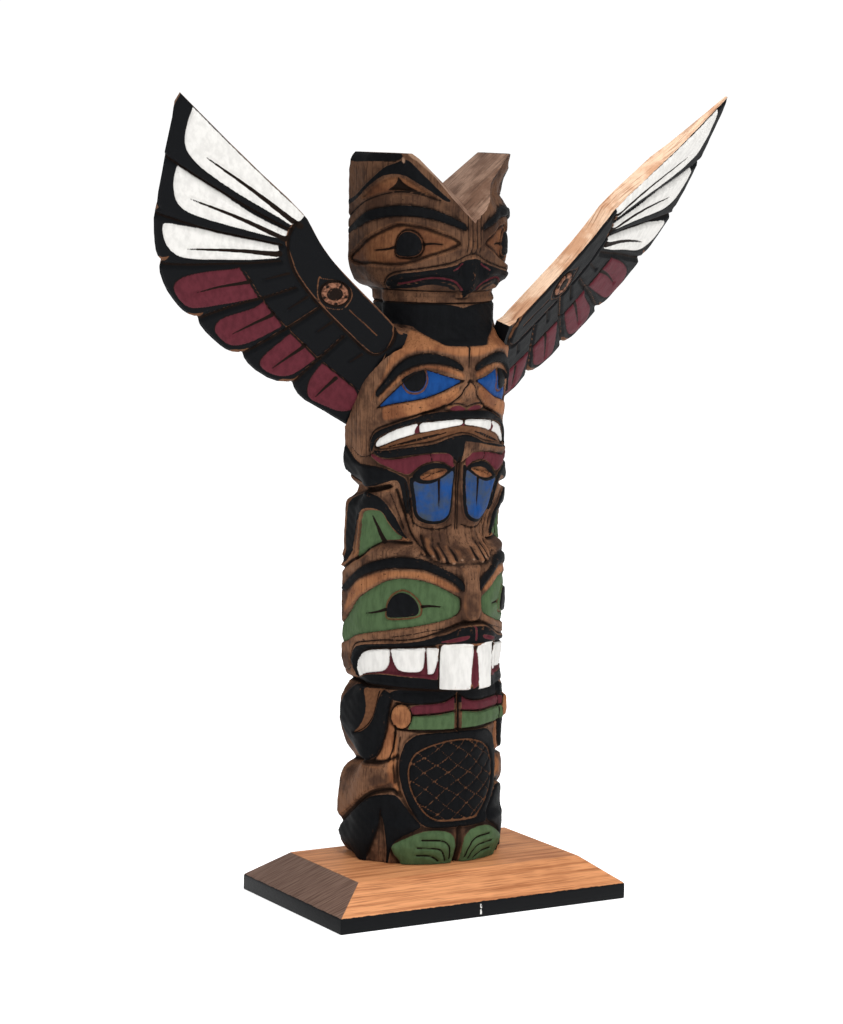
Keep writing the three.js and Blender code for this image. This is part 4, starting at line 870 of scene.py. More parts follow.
def wedge(front, back):
    """A closed wedge between two triangles given as (y, half width, foot, head) in mm."""
    tool = bmesh.new()
    ends = []
    for y, half, foot, head in (front, back):
        corners = [tool.verts.new(Vector(p) * MM) for p in ((-half, y, head), (0, y, foot), (half, y, head))]
        ends.append(tool.faces.new(corners))
    bmesh.ops.bridge_loops(tool, edges=[edge for face in ends for edge in face.edges])
    bmesh.ops.recalc_face_normals(tool, faces=tool.faces)
    for face in tool.faces:
        face.material_index = BARE
    return new_object("wedge", tool)


head = TOP + 10
spread = NOTCH_HALF * (head - NOTCH_FLOOR) / (TOP - NOTCH_FLOOR)
for front, back in (
        ((-60, spread, NOTCH_FLOOR, head), (60, spread, NOTCH_FLOOR, head)),
        ((FLARE_MIDDLE - FLARE_DEPTH - 6, spread + FLARE * 1.5, NOTCH_FLOOR - FLARE * 1.5, head),
         (FLARE_MIDDLE + FLARE_DEPTH, spread, NOTCH_FLOOR, head)),
        ((NOTCH_REAR, spread, NOTCH_FLOOR, head),
         (BACK + 5, spread + REAR_FLARE * 1.2, NOTCH_FLOOR - REAR_FLARE * 0.4, head))):
    combine(pole, wedge(front, back), "DIFFERENCE")
report(pole)

# %% [markdown]
# ## The wings
#
# Each wing is one sawn board, cut to its outline and carved on its front face only. It is drawn flat:
# "out" runs along the leading edge and "up" across the feathers. The carved face is again a grid that
# the drawing raises and sinks, closed behind, and a prism of the outline trims it. The prism's leading
# edge slopes, and its back comes nearer towards the tip, because the board is planed thin there.

# %% The wing boards
BOARD_CORNER = np.array([30, -19.05, 270])
BOARD_OUT = np.array([0.74778, 0.01629, 0.66375])
BOARD_UP = np.array([-0.46168, -0.7057, 0.53744])
BOARD_BACK = np.cross(BOARD_UP, BOARD_OUT)
THICKNESS, THINNING, EDGE_SLOPE, LOWEST = 9.4, 3.4, 4.4, -79.2
TIP_DEPTH, TIP_TAPER = 23.3, 0.139  # the board's back is planed towards the tip, on this slope
TENON = (-4.5, 2.2)
ROOT_END = -10  # the edges nearer the pole than this are painted over
WING_OUTLINE = [
    (-4, -9.5), (-4, -9.5), (0, -8.9), (28, -8.9), (41, -8.2), (52, -6.4), (60, -4), (67, -1.9), (100, -3.4),
    (146, -3.2), (146, -3.2), (143.5, -9.5), (128.5, -29.4), (128.5, -29.4), (126.6, -31), (112, -49.6),
    (109.4, -50.4), (109.4, -50.4), (109.3, -53.6), (99, -63), (92, -68), (88.2, -68.2), (88.2, -68.2), (86, -72.4),
    (77, -77), (68, -79), (61, -79.2), (56.6, -76.6), (56.6, -76.6), (50.4, -79), (40, -79), (33.4, -77.8),
    (29.8, -74), (29.8, -74), (21, -76), (9, -73), (3.9, -67), (3.9, -67), (-5.6, -69.3), (-15, -66.4),
    (-30, -62.6), (-30, -62.6)]
FEATHER_CUTS = [
    [(66, -13), (80, -18), (95, -22.4), (110, -26.6), (130, -31)],
    [(62, -21), (75, -31.6), (90, -43.2), (112, -56)],
    [(56, -27), (62, -37), (70, -48), (80, -62), (89, -72)],
    [(41, -31), (45, -45), (50, -57), (56, -80)],
    [(26.5, -30), (26.5, -45), (27.5, -60), (29, -79)],
    [(8, -31), (6.5, -40), (5, -52), (2, -70)]]
ARM_RIM = [(-2, -9.8), (-6, -13), (-9, -18), (-9.5, -23), (-8, -27), (-5, -28.3), (0, -28.8), (20, -29), (30, -28.9),
           (40, -27.6), (48, -26), (55, -22.5), (60, -19), (64, -15), (67, -8)]


def handed(side, out, up):
    """The right wing's arm sits a little higher on its board, and its long feathers hang lower."""
    lift, drop, reach = (5.5, 10, 4.5) if side > 0 else (0, 0, 0)
    far, low = smooth((out - 66) / 60), smooth((-up - 45) / 34)
    return out + reach * far, up + lift * (1 - far) * (1 - 0.6 * low) + drop * far * up / 60


def board_place(side, out, up, back):
    place = BOARD_CORNER + np.outer(out, BOARD_OUT) + np.outer(up, BOARD_UP) + np.outer(back, BOARD_BACK)
    return place * (side, 1, 1) * MM


def drawn_place(side, out, up):
    """From the board back to the drawing, by trial."""
    a, b = np.array(out), np.array(up)
    for _ in range(12):
        at_a, at_b = handed(side, a, b)
        a, b = a + (out - at_a) * 0.8, b + (up - at_b) * 0.8
    return a, b


def board_prism(side, outline, near, far, taper=0.0):
    """A closed prism of an outline on the board, from near to far behind its face; its leading edge slopes."""
    drawn_up = np.array(outline, float)[:, 1]
    out, up = handed(side, *np.array(outline, float).T)
    tool = bmesh.new()
    ends = []
    for back in (np.full(len(out), near), far - taper * out):
        lean = np.where(drawn_up > -11, -EDGE_SLOPE * back / THICKNESS, 0)
        verts = [tool.verts.new(place) for place in board_place(side, out, up + lean, back)]
        ends.append(tool.faces.new(verts))
    bmesh.ops.bridge_loops(tool, edges=[edge for face in ends for edge in face.edges])
    bmesh.ops.recalc_face_normals(tool, faces=tool.faces)
    for face in tool.faces:
        middle = np.array(face.calc_center_median()) / MM * (side, 1, 1) - BOARD_CORNER
        face.material_index = SURFACE if middle @ BOARD_OUT < ROOT_END else BARE
    ends[1].material_index = BEHIND
    return tool


# %% [markdown]
# Both wings carry one design: a black shoulder with an eye, three white feathers towards the tip and
# four red ones below. The outlines are drawn once, on the board's own two directions.

# %% The wing's drawing
WING_PAINTS = ["white", "red", "brown", "dark", "pale", "ring"]
WHITE_PANELS = [ [(67.5, -2.5), (67.5, -2.5), (100, -4), (138, -4), (138, -4), (135, -9), (132, -13.5), (128, -18),
                  (124, -20.5), (119, -21.4), (112, -21.3), (100, -19), (90, -16.5), (80, -13.5), (72, -11.2),
                  (67, -10.2), (66.6, -7)], [(65.5, -14), (65.5, -14), (80, -19.5), (90, -22), (100, -24.2),
                                             (110, -27), (119, -29), (120.5, -29.5), (118, -33), (114, -37.5),
                                             (109, -41), (105, -42.2), (101, -41.8), (95, -39), (85, -32.5),
                                             (75, -25.5), (66, -19.5), (63.6, -17.4)], [(62.5, -22.3), (62.5, -22.3),
                                                                                        (75, -31.8), (85, -39.5),
                                                                                        (95, -47.5), (103, -53.2),
                                                                                        (101, -56), (97, -59),
                                                                                        (92, -61), (88, -61),
                                                                                        (84, -59.5), (80, -55.5),
                                                                                        (72, -45.5), (65, -36.5),
                                                                                        (60, -29), (57.6, -25)]]
RED_PANELS = [
    [(47.5, -47), (51, -55), (55, -63), (59, -71), (62, -75.5), (68, -76.3), (75, -74), (77, -69), (75, -62),
     (71, -54), (66, -46), (64.5, -43), (64.5, -43), (57, -44.8), (47.5, -47)],
    [(30, -48.5), (30, -48.5), (38, -48), (44.5, -46.5), (44.5, -46.5), (44.5, -52), (47, -60), (49, -66),
     (49.3, -70), (47.5, -74), (44, -75.7), (38, -75.5), (34, -73), (31.5, -66), (30.5, -58), (29.5, -50)],
    [(7, -48.5), (7, -48.5), (24.5, -48.5), (24.5, -48.5), (23.5, -60), (22.5, -67), (21, -70.5), (18, -71.8),
     (14, -71), (9, -68), (6.5, -63), (6.5, -55)],
    [(-20, -45.5), (-10, -46.5), (3.5, -48), (3.5, -48), (2.5, -52), (0, -59), (-4, -64), (-8, -66), (-14, -63.5),
     (-21, -60.5), (-24.5, -56), (-24, -53)]]
WHITE_SLITS = [[(65, -7.4), (90, -10.8), (116, -16)], [(63.5, -17), (84, -25), (104.5, -35.8)],
               [(59.6, -24.4), (72, -37), (86, -54.5)]]
RED_SLITS = [[(56.4, -44.6), (62, -55), (66.4, -67)], [(37, -48), (38.6, -58), (40, -69.5)],
             [(15.5, -48), (15.4, -58), (15, -68)], [(-6.5, -48.6), (-7.6, -56), (-9, -63)]]
COVERT_SLITS = [[(17.5, -30.5), (17.5, -39)], [(34.5, -30), (34.5, -41)], [(-4, -31), (-4, -38)],
                [(49, -28), (53, -39)]]
EYE_MIDDLE = (28.5, -18.7)
CLEAR = 200  # a wing is drawn this far out, away from the drawing's mirror line


def oval(middle, wide, high, points=14):
    turns = np.arange(points) * 2 * math.pi / points
    return [(middle[0] + wide * math.cos(t), middle[1] + high * math.sin(t)) for t in turns]


def draw_wing(out, up):
    d = Drawing(out + CLEAR, up, WING_PAINTS)

    def at(line):
        return [(a + CLEAR, b) for a, b in line]

    edge = distance(at(WING_OUTLINE), d.u, d.z)
    d.relief -= 1.1 * smooth(1 + edge / 2.6) ** 2
    for line in FEATHER_CUTS:
        d.cut(at([(a + 0.9, b - 0.4) for a, b in line]), 0.2, 0.8, 0.3, "brown")
        d.cut(at(line), 1.7, 3.6, 0.8)
    d.cut(at(ARM_RIM), 1.2, 2.4, 0.9, "dark")
    inner = [(a, b + 1.4) if b < -20 else (a + 1.2, b) for a, b in ARM_RIM]
    d.cut(at(inner), 0.2, 0.8, 0.6, "brown")
    d.cut(at([(62, -42.6), (56, -43.8), (47.5, -46.4), (38, -47.4), (30, -48), (7, -48), (3, -47.6),
              (-20, -45)]), 0.6, 1.4, 0.3, "brown")
    for panel in WHITE_PANELS:
        d.lift(at(panel), 0.25, 1.0, crown=0.7, paint="white")
        d.cut(at(panel), 0.35, 1.2, closed=True)
    for panel in RED_PANELS:
        d.lift(at(panel), 0.2, 1.0, crown=0.6, paint="red")
        d.cut(at(panel), 0.35, 1.2, 0.25, closed=True)
    for slits, width in ((WHITE_SLITS, 3.0), (RED_SLITS, 1.8), (COVERT_SLITS, 1.2)):
        for slit in slits:
            d.slit(at(slit), width)
    d.fill("ring", at(oval(EYE_MIDDLE, 6.2, 6.2)))
    for notch in oval(EYE_MIDDLE, 5.0, 5.0, 5):
        d.fill("dark", at(oval(notch, 0.6, 0.9, 8)))
    d.cut(at(oval(EYE_MIDDLE, 6.8, 6.8)), 0.8, 1.4, 1.0, closed=True)
    d.cut(at(oval(EYE_MIDDLE, 3.0, 3.4)), 0.5, 1.4, 0.6, closed=True)
    d.fill("dark", at(oval(EYE_MIDDLE, 2.4, 2.9)))
    d.lift(at(oval(EYE_MIDDLE, 6.2, 6.2)), 0.2, 1.0, crown=0.5)
    lens = [(20, -20), (22, -14), (26, -11.5), (30, -12), (34, -14), (38, -18), (38, -18), (40, -18), (36, -22.5),
            (32, -26), (27, -27.5), (23, -25.5), (20, -21.5)]
    d.cut(at(lens), 0.4, 1.1, 0.5, "brown", closed=True)
    d.cut(at([(0, -18.7), (9, -19), (18, -19.5)]), 0.5, 1.2, 0.6, "brown")
    d.fill("brown", at([(-8, -9.6), (-4, -8), (30, -7.5), (52, -5), (67, -0.5), (146, -1), (146, -3.5), (100, -3.8),
                        (67, -2.3), (60, -4.5), (52, -6.9), (41, -8.7), (28, -9.5), (0, -9.6), (-5, -11)]))
    for a, b in ((88.2, -68.2), (56.6, -76.6), (29.8, -74), (3.9, -67)):
        d.fill("brown", at([(a - 0.4, b + 6), (a + 1.2, b + 2), (a + 4.6, b - 2), (a + 3, b - 5), (a - 0.4, b - 3)]))
    d.relief += 0.08 * np.sin(out * 0.5 + up * 0.3) * np.sin(up * 0.45 - out * 0.2)
    return d


# %% [markdown]
# The two wings are a pair, so one function carves both, mirrored. The small differences between them
# are given above, where the right wing's drawing is shifted a little on its board.

# %% Carving both wings
WING_GRID = (320, 166)
WING_FIELD = ((-40, 151), (-93, 4))


def carve_wing(side, name):
    form = bmesh.new()
    bmesh.ops.create_grid(form, x_segments=WING_GRID[0], y_segments=WING_GRID[1], size=0.5)
    places = np.array([vert.co for vert in form.verts]) + 0.5
    out = WING_FIELD[0][0] + places[:, 0] * (WING_FIELD[0][1] - WING_FIELD[0][0])
    up = WING_FIELD[1][0] + places[:, 1] * (WING_FIELD[1][1] - WING_FIELD[1][0])
    relief = draw_wing(*drawn_place(side, out, up)).relief
    for vert, place in zip(form.verts, board_place(side, out, up, -relief)):
        vert.co = place
    rim, drawn_faces = [edge for edge in form.edges if edge.is_boundary], set(form.faces)
    made = bmesh.ops.extrude_edge_only(form, edges=rim)["geom"]
    behind = [item for item in made if isinstance(item, bmesh.types.BMVert)]
    for vert in behind:
        back, up_here = (BOARD_BACK * (side, 1, 1)), (BOARD_UP * (side, 1, 1))
        place = np.array(vert.co) / MM - BOARD_CORNER * (side, 1, 1)
        depth = THICKNESS - THINNING * np.clip((place @ up_here) / LOWEST, 0, 1.2)
        vert.co = vert.co + Vector(back * (depth - place @ back) * MM)
    bmesh.ops.holes_fill(form, edges=[edge for edge in form.edges if edge.is_boundary], sides=0)
    for face in set(form.faces) - drawn_faces:
        face.material_index = BEHIND
    bmesh.ops.recalc_face_normals(form, faces=form.faces)
    wing = new_object(name, form)
    outline = eased(WING_OUTLINE, True, 1)[:-1]
    root = [(-30 + TENON[0], -62.6 + TENON[1]), (-4 + TENON[0], -9.5 + TENON[1])]
    shape = board_prism(side, [*outline, *root], -5.0, TIP_DEPTH, TIP_TAPER)
    combine(wing, new_object("outline", shape), "INTERSECT")
    report(wing)
    return wing


wings = {side: carve_wing(side, f"wing_{name}_carved") for side, name in ((-1, "left"), (1, "right"))}

# %% [markdown]
# The pole has a slanting slot in each side for the wing's root. It is cut with the same board, a third
# of a millimetre larger all round, so that the wing could be slid in and glued.

# %% The slots
SLOT_ROOM = 0.3
for side in wings:
    outline = np.array([*eased(WING_OUTLINE, True, 1)[:-1], (-34.8, -60.4), (-8.8, -7.3)])
    outline[:, 1] += SLOT_ROOM * np.sign(outline[:, 1] + 38)
    combine(pole, new_object("slot", board_prism(side, outline, -SLOT_ROOM, THICKNESS + SLOT_ROOM)), "DIFFERENCE")
report(pole)

# %% [markdown]
# ## The plinth
#
# The plinth is a plain board with its four sides planed to a slope above a low upright edge. A block
# is narrowed at the top, its lower edge loop is added by a level cut, and every edge is softened by a
# small bevel.

# %% Plinth
PLINTH_EDGE = 7.2
BEVEL_ENDS, BEVEL_SIDES = 16.9, 14.55
low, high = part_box("plinth")
size = high - low
form = bmesh.new()
bmesh.ops.create_cube(form, size=1)
bmesh.ops.scale(form, verts=form.verts, vec=size)
bmesh.ops.translate(form, verts=form.verts, vec=(low + high) / 2)
bmesh.ops.bisect_plane(form, geom=[*form.verts, *form.edges, *form.faces], dist=1e-6,
                       plane_co=(0, 0, PLINTH_EDGE * MM), plane_no=(0, 0, 1))
top = [vert for vert in form.verts if vert.co.z > high.z - 1e-5]
shrink = (1 - 2 * BEVEL_ENDS * MM / size.x, 1 - 2 * BEVEL_SIDES * MM / size.y, 1)
bmesh.ops.scale(form, verts=top, vec=shrink)
bmesh.ops.bevel(form, geom=[edge for edge in form.edges if edge.calc_face_angle(0) > 0.2], affect="EDGES",
                offset=0.6 * MM, segments=3, profile=0.5, material=-1, clamp_overlap=True)
bmesh.ops.recalc_face_normals(form, faces=form.faces)
plinth = new_object("plinth_board", form)
report(plinth)

# %% [markdown]
# ## Finishes
#
# Everything was stained brown first, and the paint was brushed on after the carving, so the brown shows
# in the cuts and where an edge has worn. A finish is a tree of nodes, and these few helpers write one
# like a sum. The drawn distances are stored on the points, and a paint starts where its distance passes
# nought, shaken a little by noise as a brush shakes.

# %% Node helpers
def srgb(red, green, blue):
    """A colour as seen on a screen, 0 to 255, in the linear values that a shader takes."""
    shares = (red / 255, green / 255, blue / 255)
    return tuple(c / 12.92 if c < 0.0404 else ((c + 0.055) / 1.055) ** 2.4 for c in shares) + (1,)


class Finish:
    def __init__(self, name):
        self.material = bpy.data.materials.new(name)
        self.material.use_nodes = True
        self.tree = self.material.node_tree
        self.tree.nodes.clear()
        self.place = self.node("ShaderNodeTexCoord").outputs["Object"]

    def node(self, kind, inputs=(), **settings):
        made = self.tree.nodes.new(kind)
        for key, value in settings.items():
            setattr(made, key, value)
        for key, value in dict(inputs).items():
            if isinstance(value, bpy.types.NodeSocket):
                self.tree.links.new(value, made.inputs[key])
            else:
                made.inputs[key].default_value = value
        return made

    def sum(self, operation, a, b=0.0, c=0.0, clamp=False):
        return self.node("ShaderNodeMath", {0: a, 1: b, 2: c}, operation=operation, use_clamp=clamp).outputs[0]

    def level(self):
        return self.node("ShaderNodeSeparateXYZ", {0: self.place}).outputs[2]

    def drawn(self, name):
        return self.node("ShaderNodeAttribute", attribute_name=name).outputs["Fac"]

    def noise(self, scale, stretch=(1, 1, 1), detail=3.0, roughness=0.55, kind="ShaderNodeTexNoise"):
        place = self.node("ShaderNodeMapping", {"Vector": self.place, "Scale": stretch}).outputs[0]
        inputs = {"Vector": place, "Scale": scale}
        if kind == "ShaderNodeTexNoise":
            inputs.update({"Detail": detail, "Roughness": roughness})
        return self.node(kind, inputs).outputs[0]

    def within(self, value, low, high):
        """0 at low, 1 at high, smooth between; high may be the smaller."""
        flip = high < low
        ends = (high, low) if flip else (low, high)
        out = (1.0, 0.0) if flip else (0.0, 1.0)
        return self.node("ShaderNodeMapRange", {"Value": value, "From Min": ends[0], "From Max": ends[1],
                                                "To Min": out[0], "To Max": out[1]},
                         interpolation_type="SMOOTHSTEP").outputs[0]

    def mix(self, share, under, over, blend="MIX"):
        made = self.node("ShaderNodeMix", data_type="RGBA", blend_type=blend)
        for socket, value in zip((made.inputs[0], made.inputs[6], made.inputs[7]), (share, under, over)):
            if isinstance(value, bpy.types.NodeSocket):
                self.tree.links.new(value, socket)
            else:
                socket.default_value = value
        return made.outputs[2]

    def close(self, colour, roughness, height, bump, specular=0.14):
        normal = self.node("ShaderNodeBump", {"Height": height, "Distance": bump, "Strength": 1.0}).outputs[0]
        shader = self.node("ShaderNodeBsdfPrincipled", {"Base Color": colour, "Roughness": roughness,
                                                        "Normal": normal, "Specular IOR Level": specular})
        out = self.node("ShaderNodeOutputMaterial")
        self.tree.links.new(shader.outputs[0], out.inputs[0])
        return self.material


def stained_wood(finish, grain_way, dark, middle, light, streak=1.0):
    """Straight grained wood under a brown stain: fine streaks and pores, and broad changes of tone."""
    streaks = finish.noise(1.0, tuple(55 if way else 1150 for way in grain_way), 4, 0.62)
    pores = finish.noise(1.0, tuple(190 if way else 4200 for way in grain_way), 2, 0.5)
    broad = finish.noise(75, detail=4, roughness=0.6)
    colour = finish.mix(finish.within(broad, 0.38, 0.62), middle, light)
    colour = finish.mix(finish.sum("MULTIPLY", finish.within(streaks, 0.47, 0.7), 0.75 * streak), colour, dark)
    colour = finish.mix(finish.sum("MULTIPLY", finish.within(pores, 0.54, 0.7), 0.35 * streak), colour, dark)
    height = finish.sum("ADD", finish.sum("MULTIPLY", streaks, 0.5), finish.sum("MULTIPLY", pores, 0.5))
    return colour, height


# %% [markdown]
# The painted finish lays stained wood first, with painted shade in the hollows and a painted highlight,
# partly rubbed wear, on the ridges, then each paint over it, shaded again in the deep hollows. The paint is
# matt and nearly whole: it is only chipped in small flecks on ridges, and its tone varies a little as a brush leaves
# it.

# %% Paints over stained wood
STAIN_DARK, STAIN_MIDDLE, STAIN_LIGHT = srgb(42, 29, 23), srgb(68, 47, 36), srgb(116, 83, 62)
HEAD_SHADE, HEAD_RANGE = 0.4, (0.270, 0.282)  # painted shade: the topmost head is darkened above these levels
DULL_RANGE = (0.207, 0.203)  # the blue is duller below these levels
WARM_DARK, WARM_MIDDLE, WARM_LIGHT = srgb(78, 46, 30), srgb(114, 71, 47), srgb(150, 100, 66)
# the darkest brown: the colour of the dark lines and flecks, and of the painted shade in the hollows
GRIME_AND_SHADE, DULL_BLUE = srgb(24, 16, 12), srgb(58, 66, 74)
PAINT_COLOURS = {"black": srgb(15, 16, 18), "white": srgb(213, 211, 207), "green": srgb(72, 92, 62),
                 "blue": srgb(22, 64, 122), "red": srgb(86, 36, 44)}


def painted_finish(name, colours, grain_way, bare_black=False):
    """One finish for a carved piece; bare_black paints all of it black before the colours."""
    finish = Finish(name)
    hollow = finish.drawn("hollow")
    shake = finish.sum("MULTIPLY", finish.sum("SUBTRACT", finish.noise(520, detail=2), 0.5), 0.5)
    colour, grain = stained_wood(finish, grain_way, STAIN_DARK, STAIN_MIDDLE, STAIN_LIGHT)

    def covered(paint, soft=0.14):
        return finish.within(finish.sum("ADD", finish.drawn(paint), shake), soft, -soft)

    if "warm" in colours:
        bright, _ = stained_wood(finish, grain_way, WARM_DARK, WARM_MIDDLE, WARM_LIGHT, 0.7)
        colour = finish.mix(finish.sum("MULTIPLY", covered("warm", 0.8), 0.9), colour, bright)
    # painted shade over the topmost head, darkening it towards the dark stain
    head = finish.within(finish.level(), *HEAD_RANGE)
    colour = finish.mix(finish.sum("MULTIPLY", head, HEAD_SHADE), colour, STAIN_DARK)
    # painted highlight, partly rubbed wear, lightens the ridges, and painted shade darkens the stained wood in the
    # hollows
    rubbed_and_highlit = finish.sum("MULTIPLY", finish.within(hollow, -0.2, -0.9), 0.4)
    colour = finish.mix(rubbed_and_highlit, colour, WARM_LIGHT)
    colour = finish.mix(finish.sum("MULTIPLY", finish.within(hollow, 0.0, 0.7), 0.85), colour, GRIME_AND_SHADE)
    if "spots" in colours:
        colour = finish.mix(finish.sum("MULTIPLY", covered("spots"), 0.8), colour, GRIME_AND_SHADE)
    chips = finish.sum("MULTIPLY", finish.within(finish.noise(650, detail=4, roughness=0.7), 0.58, 0.66),
                       finish.within(hollow, -0.4, -1.1))
    whole = finish.sum("SUBTRACT", 1.0, finish.sum("MULTIPLY", chips, 0.5))
    if bare_black:
        colour = finish.mix(whole, colour, PAINT_COLOURS["black"])
    # the blue of the legs is duller than that of the eyes
    low_blue = finish.within(finish.level(), *DULL_RANGE)
    broad = finish.noise(110, detail=4, roughness=0.65)
    brushed = finish.within(finish.noise(1.0, (420, 420, 130), 3, 0.6), 0.3, 0.66)
    for paint in ("black", "green", "blue", "red", "white"):
        if paint in colours:
            thin = 0.86 if paint == "white" else 0.74
            shade = tuple(c * thin for c in PAINT_COLOURS[paint][:3]) + (1,)
            body = finish.mix(brushed, shade, PAINT_COLOURS[paint])
            if paint == "blue":
                body = finish.mix(finish.sum("MULTIPLY", low_blue, finish.within(broad, 0.3, 0.75)), body, DULL_BLUE)
            colour = finish.mix(finish.sum("MULTIPLY", covered(paint), whole), colour, body)
    if "ring" in colours:
        ringed = finish.mix(finish.within(finish.noise(700), 0.4, 0.6), srgb(78, 50, 38), srgb(134, 92, 72))
        colour = finish.mix(covered("ring"), colour, ringed)
    # painted shade, with some grime, darkens every paint in the deep hollows
    colour = finish.mix(finish.sum("MULTIPLY", finish.within(hollow, 0.35, 1.5), 0.5), colour, GRIME_AND_SHADE)
    line = finish.mix(finish.noise(700, detail=2), srgb(70, 44, 30), srgb(124, 84, 58))
    colour = finish.mix(finish.sum("MULTIPLY", covered("brown"), 0.85), colour, line)
    if "pale" in colours:
        colour = finish.mix(finish.sum("MULTIPLY", covered("pale", 0.4), 0.8), colour,
                            finish.mix(grain, srgb(118, 88, 70), srgb(172, 142, 118)))
    lines = finish.within(finish.sum("ADD", finish.drawn("dark"), finish.sum("MULTIPLY", shake, 0.5)), 0.26, -0.02)
    colour = finish.mix(lines, colour, GRIME_AND_SHADE)
    facets = finish.noise(330, (1, 1, 0.5), kind="ShaderNodeTexVoronoi")
    height = finish.sum("ADD", finish.sum("MULTIPLY", grain, 0.8), finish.sum("MULTIPLY", facets, 0.5))
    return finish.close(colour, 0.55, height, 0.12 * MM, 0.04)


carved_paint = painted_finish("carved_paint", ("warm", "spots", "black", "green", "blue", "red", "white", "pale"),
                              (0, 0, 1))
wing_paint = painted_finish("wing_paint", ("red", "white", "ring"), (1, 0, 1), bare_black=True)
print("finishes", carved_paint.name, wing_paint.name)

# %% [markdown]
# Where no paint went, the wood itself shows: grey brown in the notch, dark stain on the left wing's
# edge and on all the backs, and pale, almost unstained wood on the right wing's edge. All are the same
# stained wood in other tones.

# %% Wood without paint
def raw_wood(name, grain_way, dark, middle, light):
    finish = Finish(name)
    colour, grain = stained_wood(finish, grain_way, dark, middle, light)
    return finish.close(colour, 0.6, grain, 0.15 * MM)


notch_wood = raw_wood("notch_wood", (1, 0, 1), srgb(60, 42, 33), srgb(106, 78, 62), srgb(150, 120, 101))
back_wood = raw_wood("back_wood", (0, 0, 1), srgb(44, 31, 25), srgb(76, 54, 42), srgb(88, 63, 49))
stained_edge = raw_wood("stained_edge", (1, 0, 1), srgb(48, 33, 25), srgb(88, 60, 44), srgb(120, 86, 62))
raw_edge = raw_wood("raw_edge", (1, 0, 1), srgb(136, 86, 58), srgb(204, 156, 122), srgb(238, 204, 174))

print("finishes", notch_wood.name, back_wood.name, stained_edge.name, raw_edge.name)

# %% [markdown]
# The plinth is oiled and fine grained, and its grain runs along its length, so its end slopes show
# sawn end grain, greyer and darker. Its upright edge is painted black, a little unevenly along the top,
# and the paint has one small chip in front.

# %% The plinth's finish
CHIP_PLACE = (-0.0029, 0.0038)  # along the front edge, and up
EDGE_PAINT = (0.0074, 0.0072)  # between these levels the black paint ends


def plinth_finish():
    """Warm, oiled, fine grained wood with grey brown sawn ends and a black painted edge."""
    finish = Finish("plinth_wood")
    place = finish.node("ShaderNodeSeparateXYZ", {0: finish.place})
    rings = finish.noise(1.0, (16, 330, 700), 5, 0.65)
    broad = finish.noise(30, detail=3)
    colour = finish.mix(finish.within(rings, 0.3, 0.6), srgb(166, 104, 66), srgb(216, 150, 102))
    colour = finish.mix(finish.sum("MULTIPLY", finish.within(broad, 0.5, 0.75), 0.45), colour, srgb(158, 98, 62))
    fine = finish.noise(1.0, (70, 2400, 2400), 2, 0.5)
    colour = finish.mix(finish.sum("MULTIPLY", finish.within(fine, 0.5, 0.68), 0.45), colour, srgb(112, 64, 40))
    # the end slopes start where they pass the side slopes, so that the tone changes on the hip edges
    from_middle = [finish.sum("ABSOLUTE", place.outputs[k]) for k in (0, 1)]
    beyond_end, beyond_side = (
        finish.sum("DIVIDE", finish.sum("SUBTRACT", from_middle[k], size[k] / 2 - slope * MM), slope * MM)
        for k, slope in ((0, BEVEL_ENDS), (1, BEVEL_SIDES)))
    ends = finish.within(finish.sum("SUBTRACT", beyond_end, finish.sum("MAXIMUM", beyond_side, 0.0)), 0.0, 0.02)
    across = finish.sum("MULTIPLY_ADD", place.outputs[1], 1100.0, finish.sum("MULTIPLY", place.outputs[0], 700.0))
    along = finish.sum("MULTIPLY", place.outputs[0], 90.0)
    slanting = finish.node("ShaderNodeCombineXYZ", {0: across, 1: along}).outputs[0]
    sawn = finish.node("ShaderNodeTexNoise", {"Vector": slanting, "Scale": 1.0, "Detail": 3.0,
                                              "Roughness": 0.6}).outputs[0]
    end_grain = finish.mix(finish.within(sawn, 0.25, 0.75), srgb(84, 62, 52), srgb(126, 101, 88))
    colour = finish.mix(ends, colour, end_grain)
    shake = finish.sum("MULTIPLY", finish.sum("SUBTRACT", finish.noise(300), 0.5), 0.0008)
    black = finish.within(finish.sum("ADD", place.outputs[2], shake), *EDGE_PAINT)
    colour = finish.mix(black, colour, PAINT_COLOURS["black"])
    # a chip in the black paint of the front edge
    off = finish.sum("ABSOLUTE", finish.sum("SUBTRACT", place.outputs[0], CHIP_PLACE[0]))
    tall = finish.sum("ABSOLUTE", finish.sum("SUBTRACT", place.outputs[2], CHIP_PLACE[1]))
    chip = finish.sum("MULTIPLY", finish.within(off, 0.0006, 0.0003), finish.within(tall, 0.0026, 0.0022))
    chip = finish.sum("MULTIPLY", chip, finish.within(finish.noise(700, detail=2), 0.42, 0.5))
    chip = finish.sum("MULTIPLY", chip, finish.within(place.outputs[1], -0.0455, -0.0460))
    colour = finish.mix(chip, colour, PAINT_COLOURS["white"])
    return finish.close(colour, 0.45, finish.sum("ADD", rings, finish.sum("MULTIPLY", fine, 0.5)), 0.1 * MM, 0.08)


plinth_wood = plinth_finish()
print("finish", plinth_wood.name)

# %% [markdown]
# The painted pieces need their drawings at the final points, after the cuts. The sheet map remembers
# each point's girth and level through the cuts, and a wing point's place on the board is plain geometry.

# %% Painting the pole
def blurred(field, reach):
    """A picture softened along both its sides, for telling hollows from ridges."""
    span = np.arange(-3 * reach, 3 * reach + 1)
    weights = np.exp(-0.5 * (span / reach) ** 2)
    weights /= weights.sum()
    for axis in (0, 1):
        padded = np.pad(field, [(len(span) // 2,) * 2 if k == axis else (0, 0) for k in (0, 1)], mode="edge")
        field = sum(w * np.take(padded, np.arange(field.shape[axis]) + k, axis) for k, w in enumerate(weights))
    return field


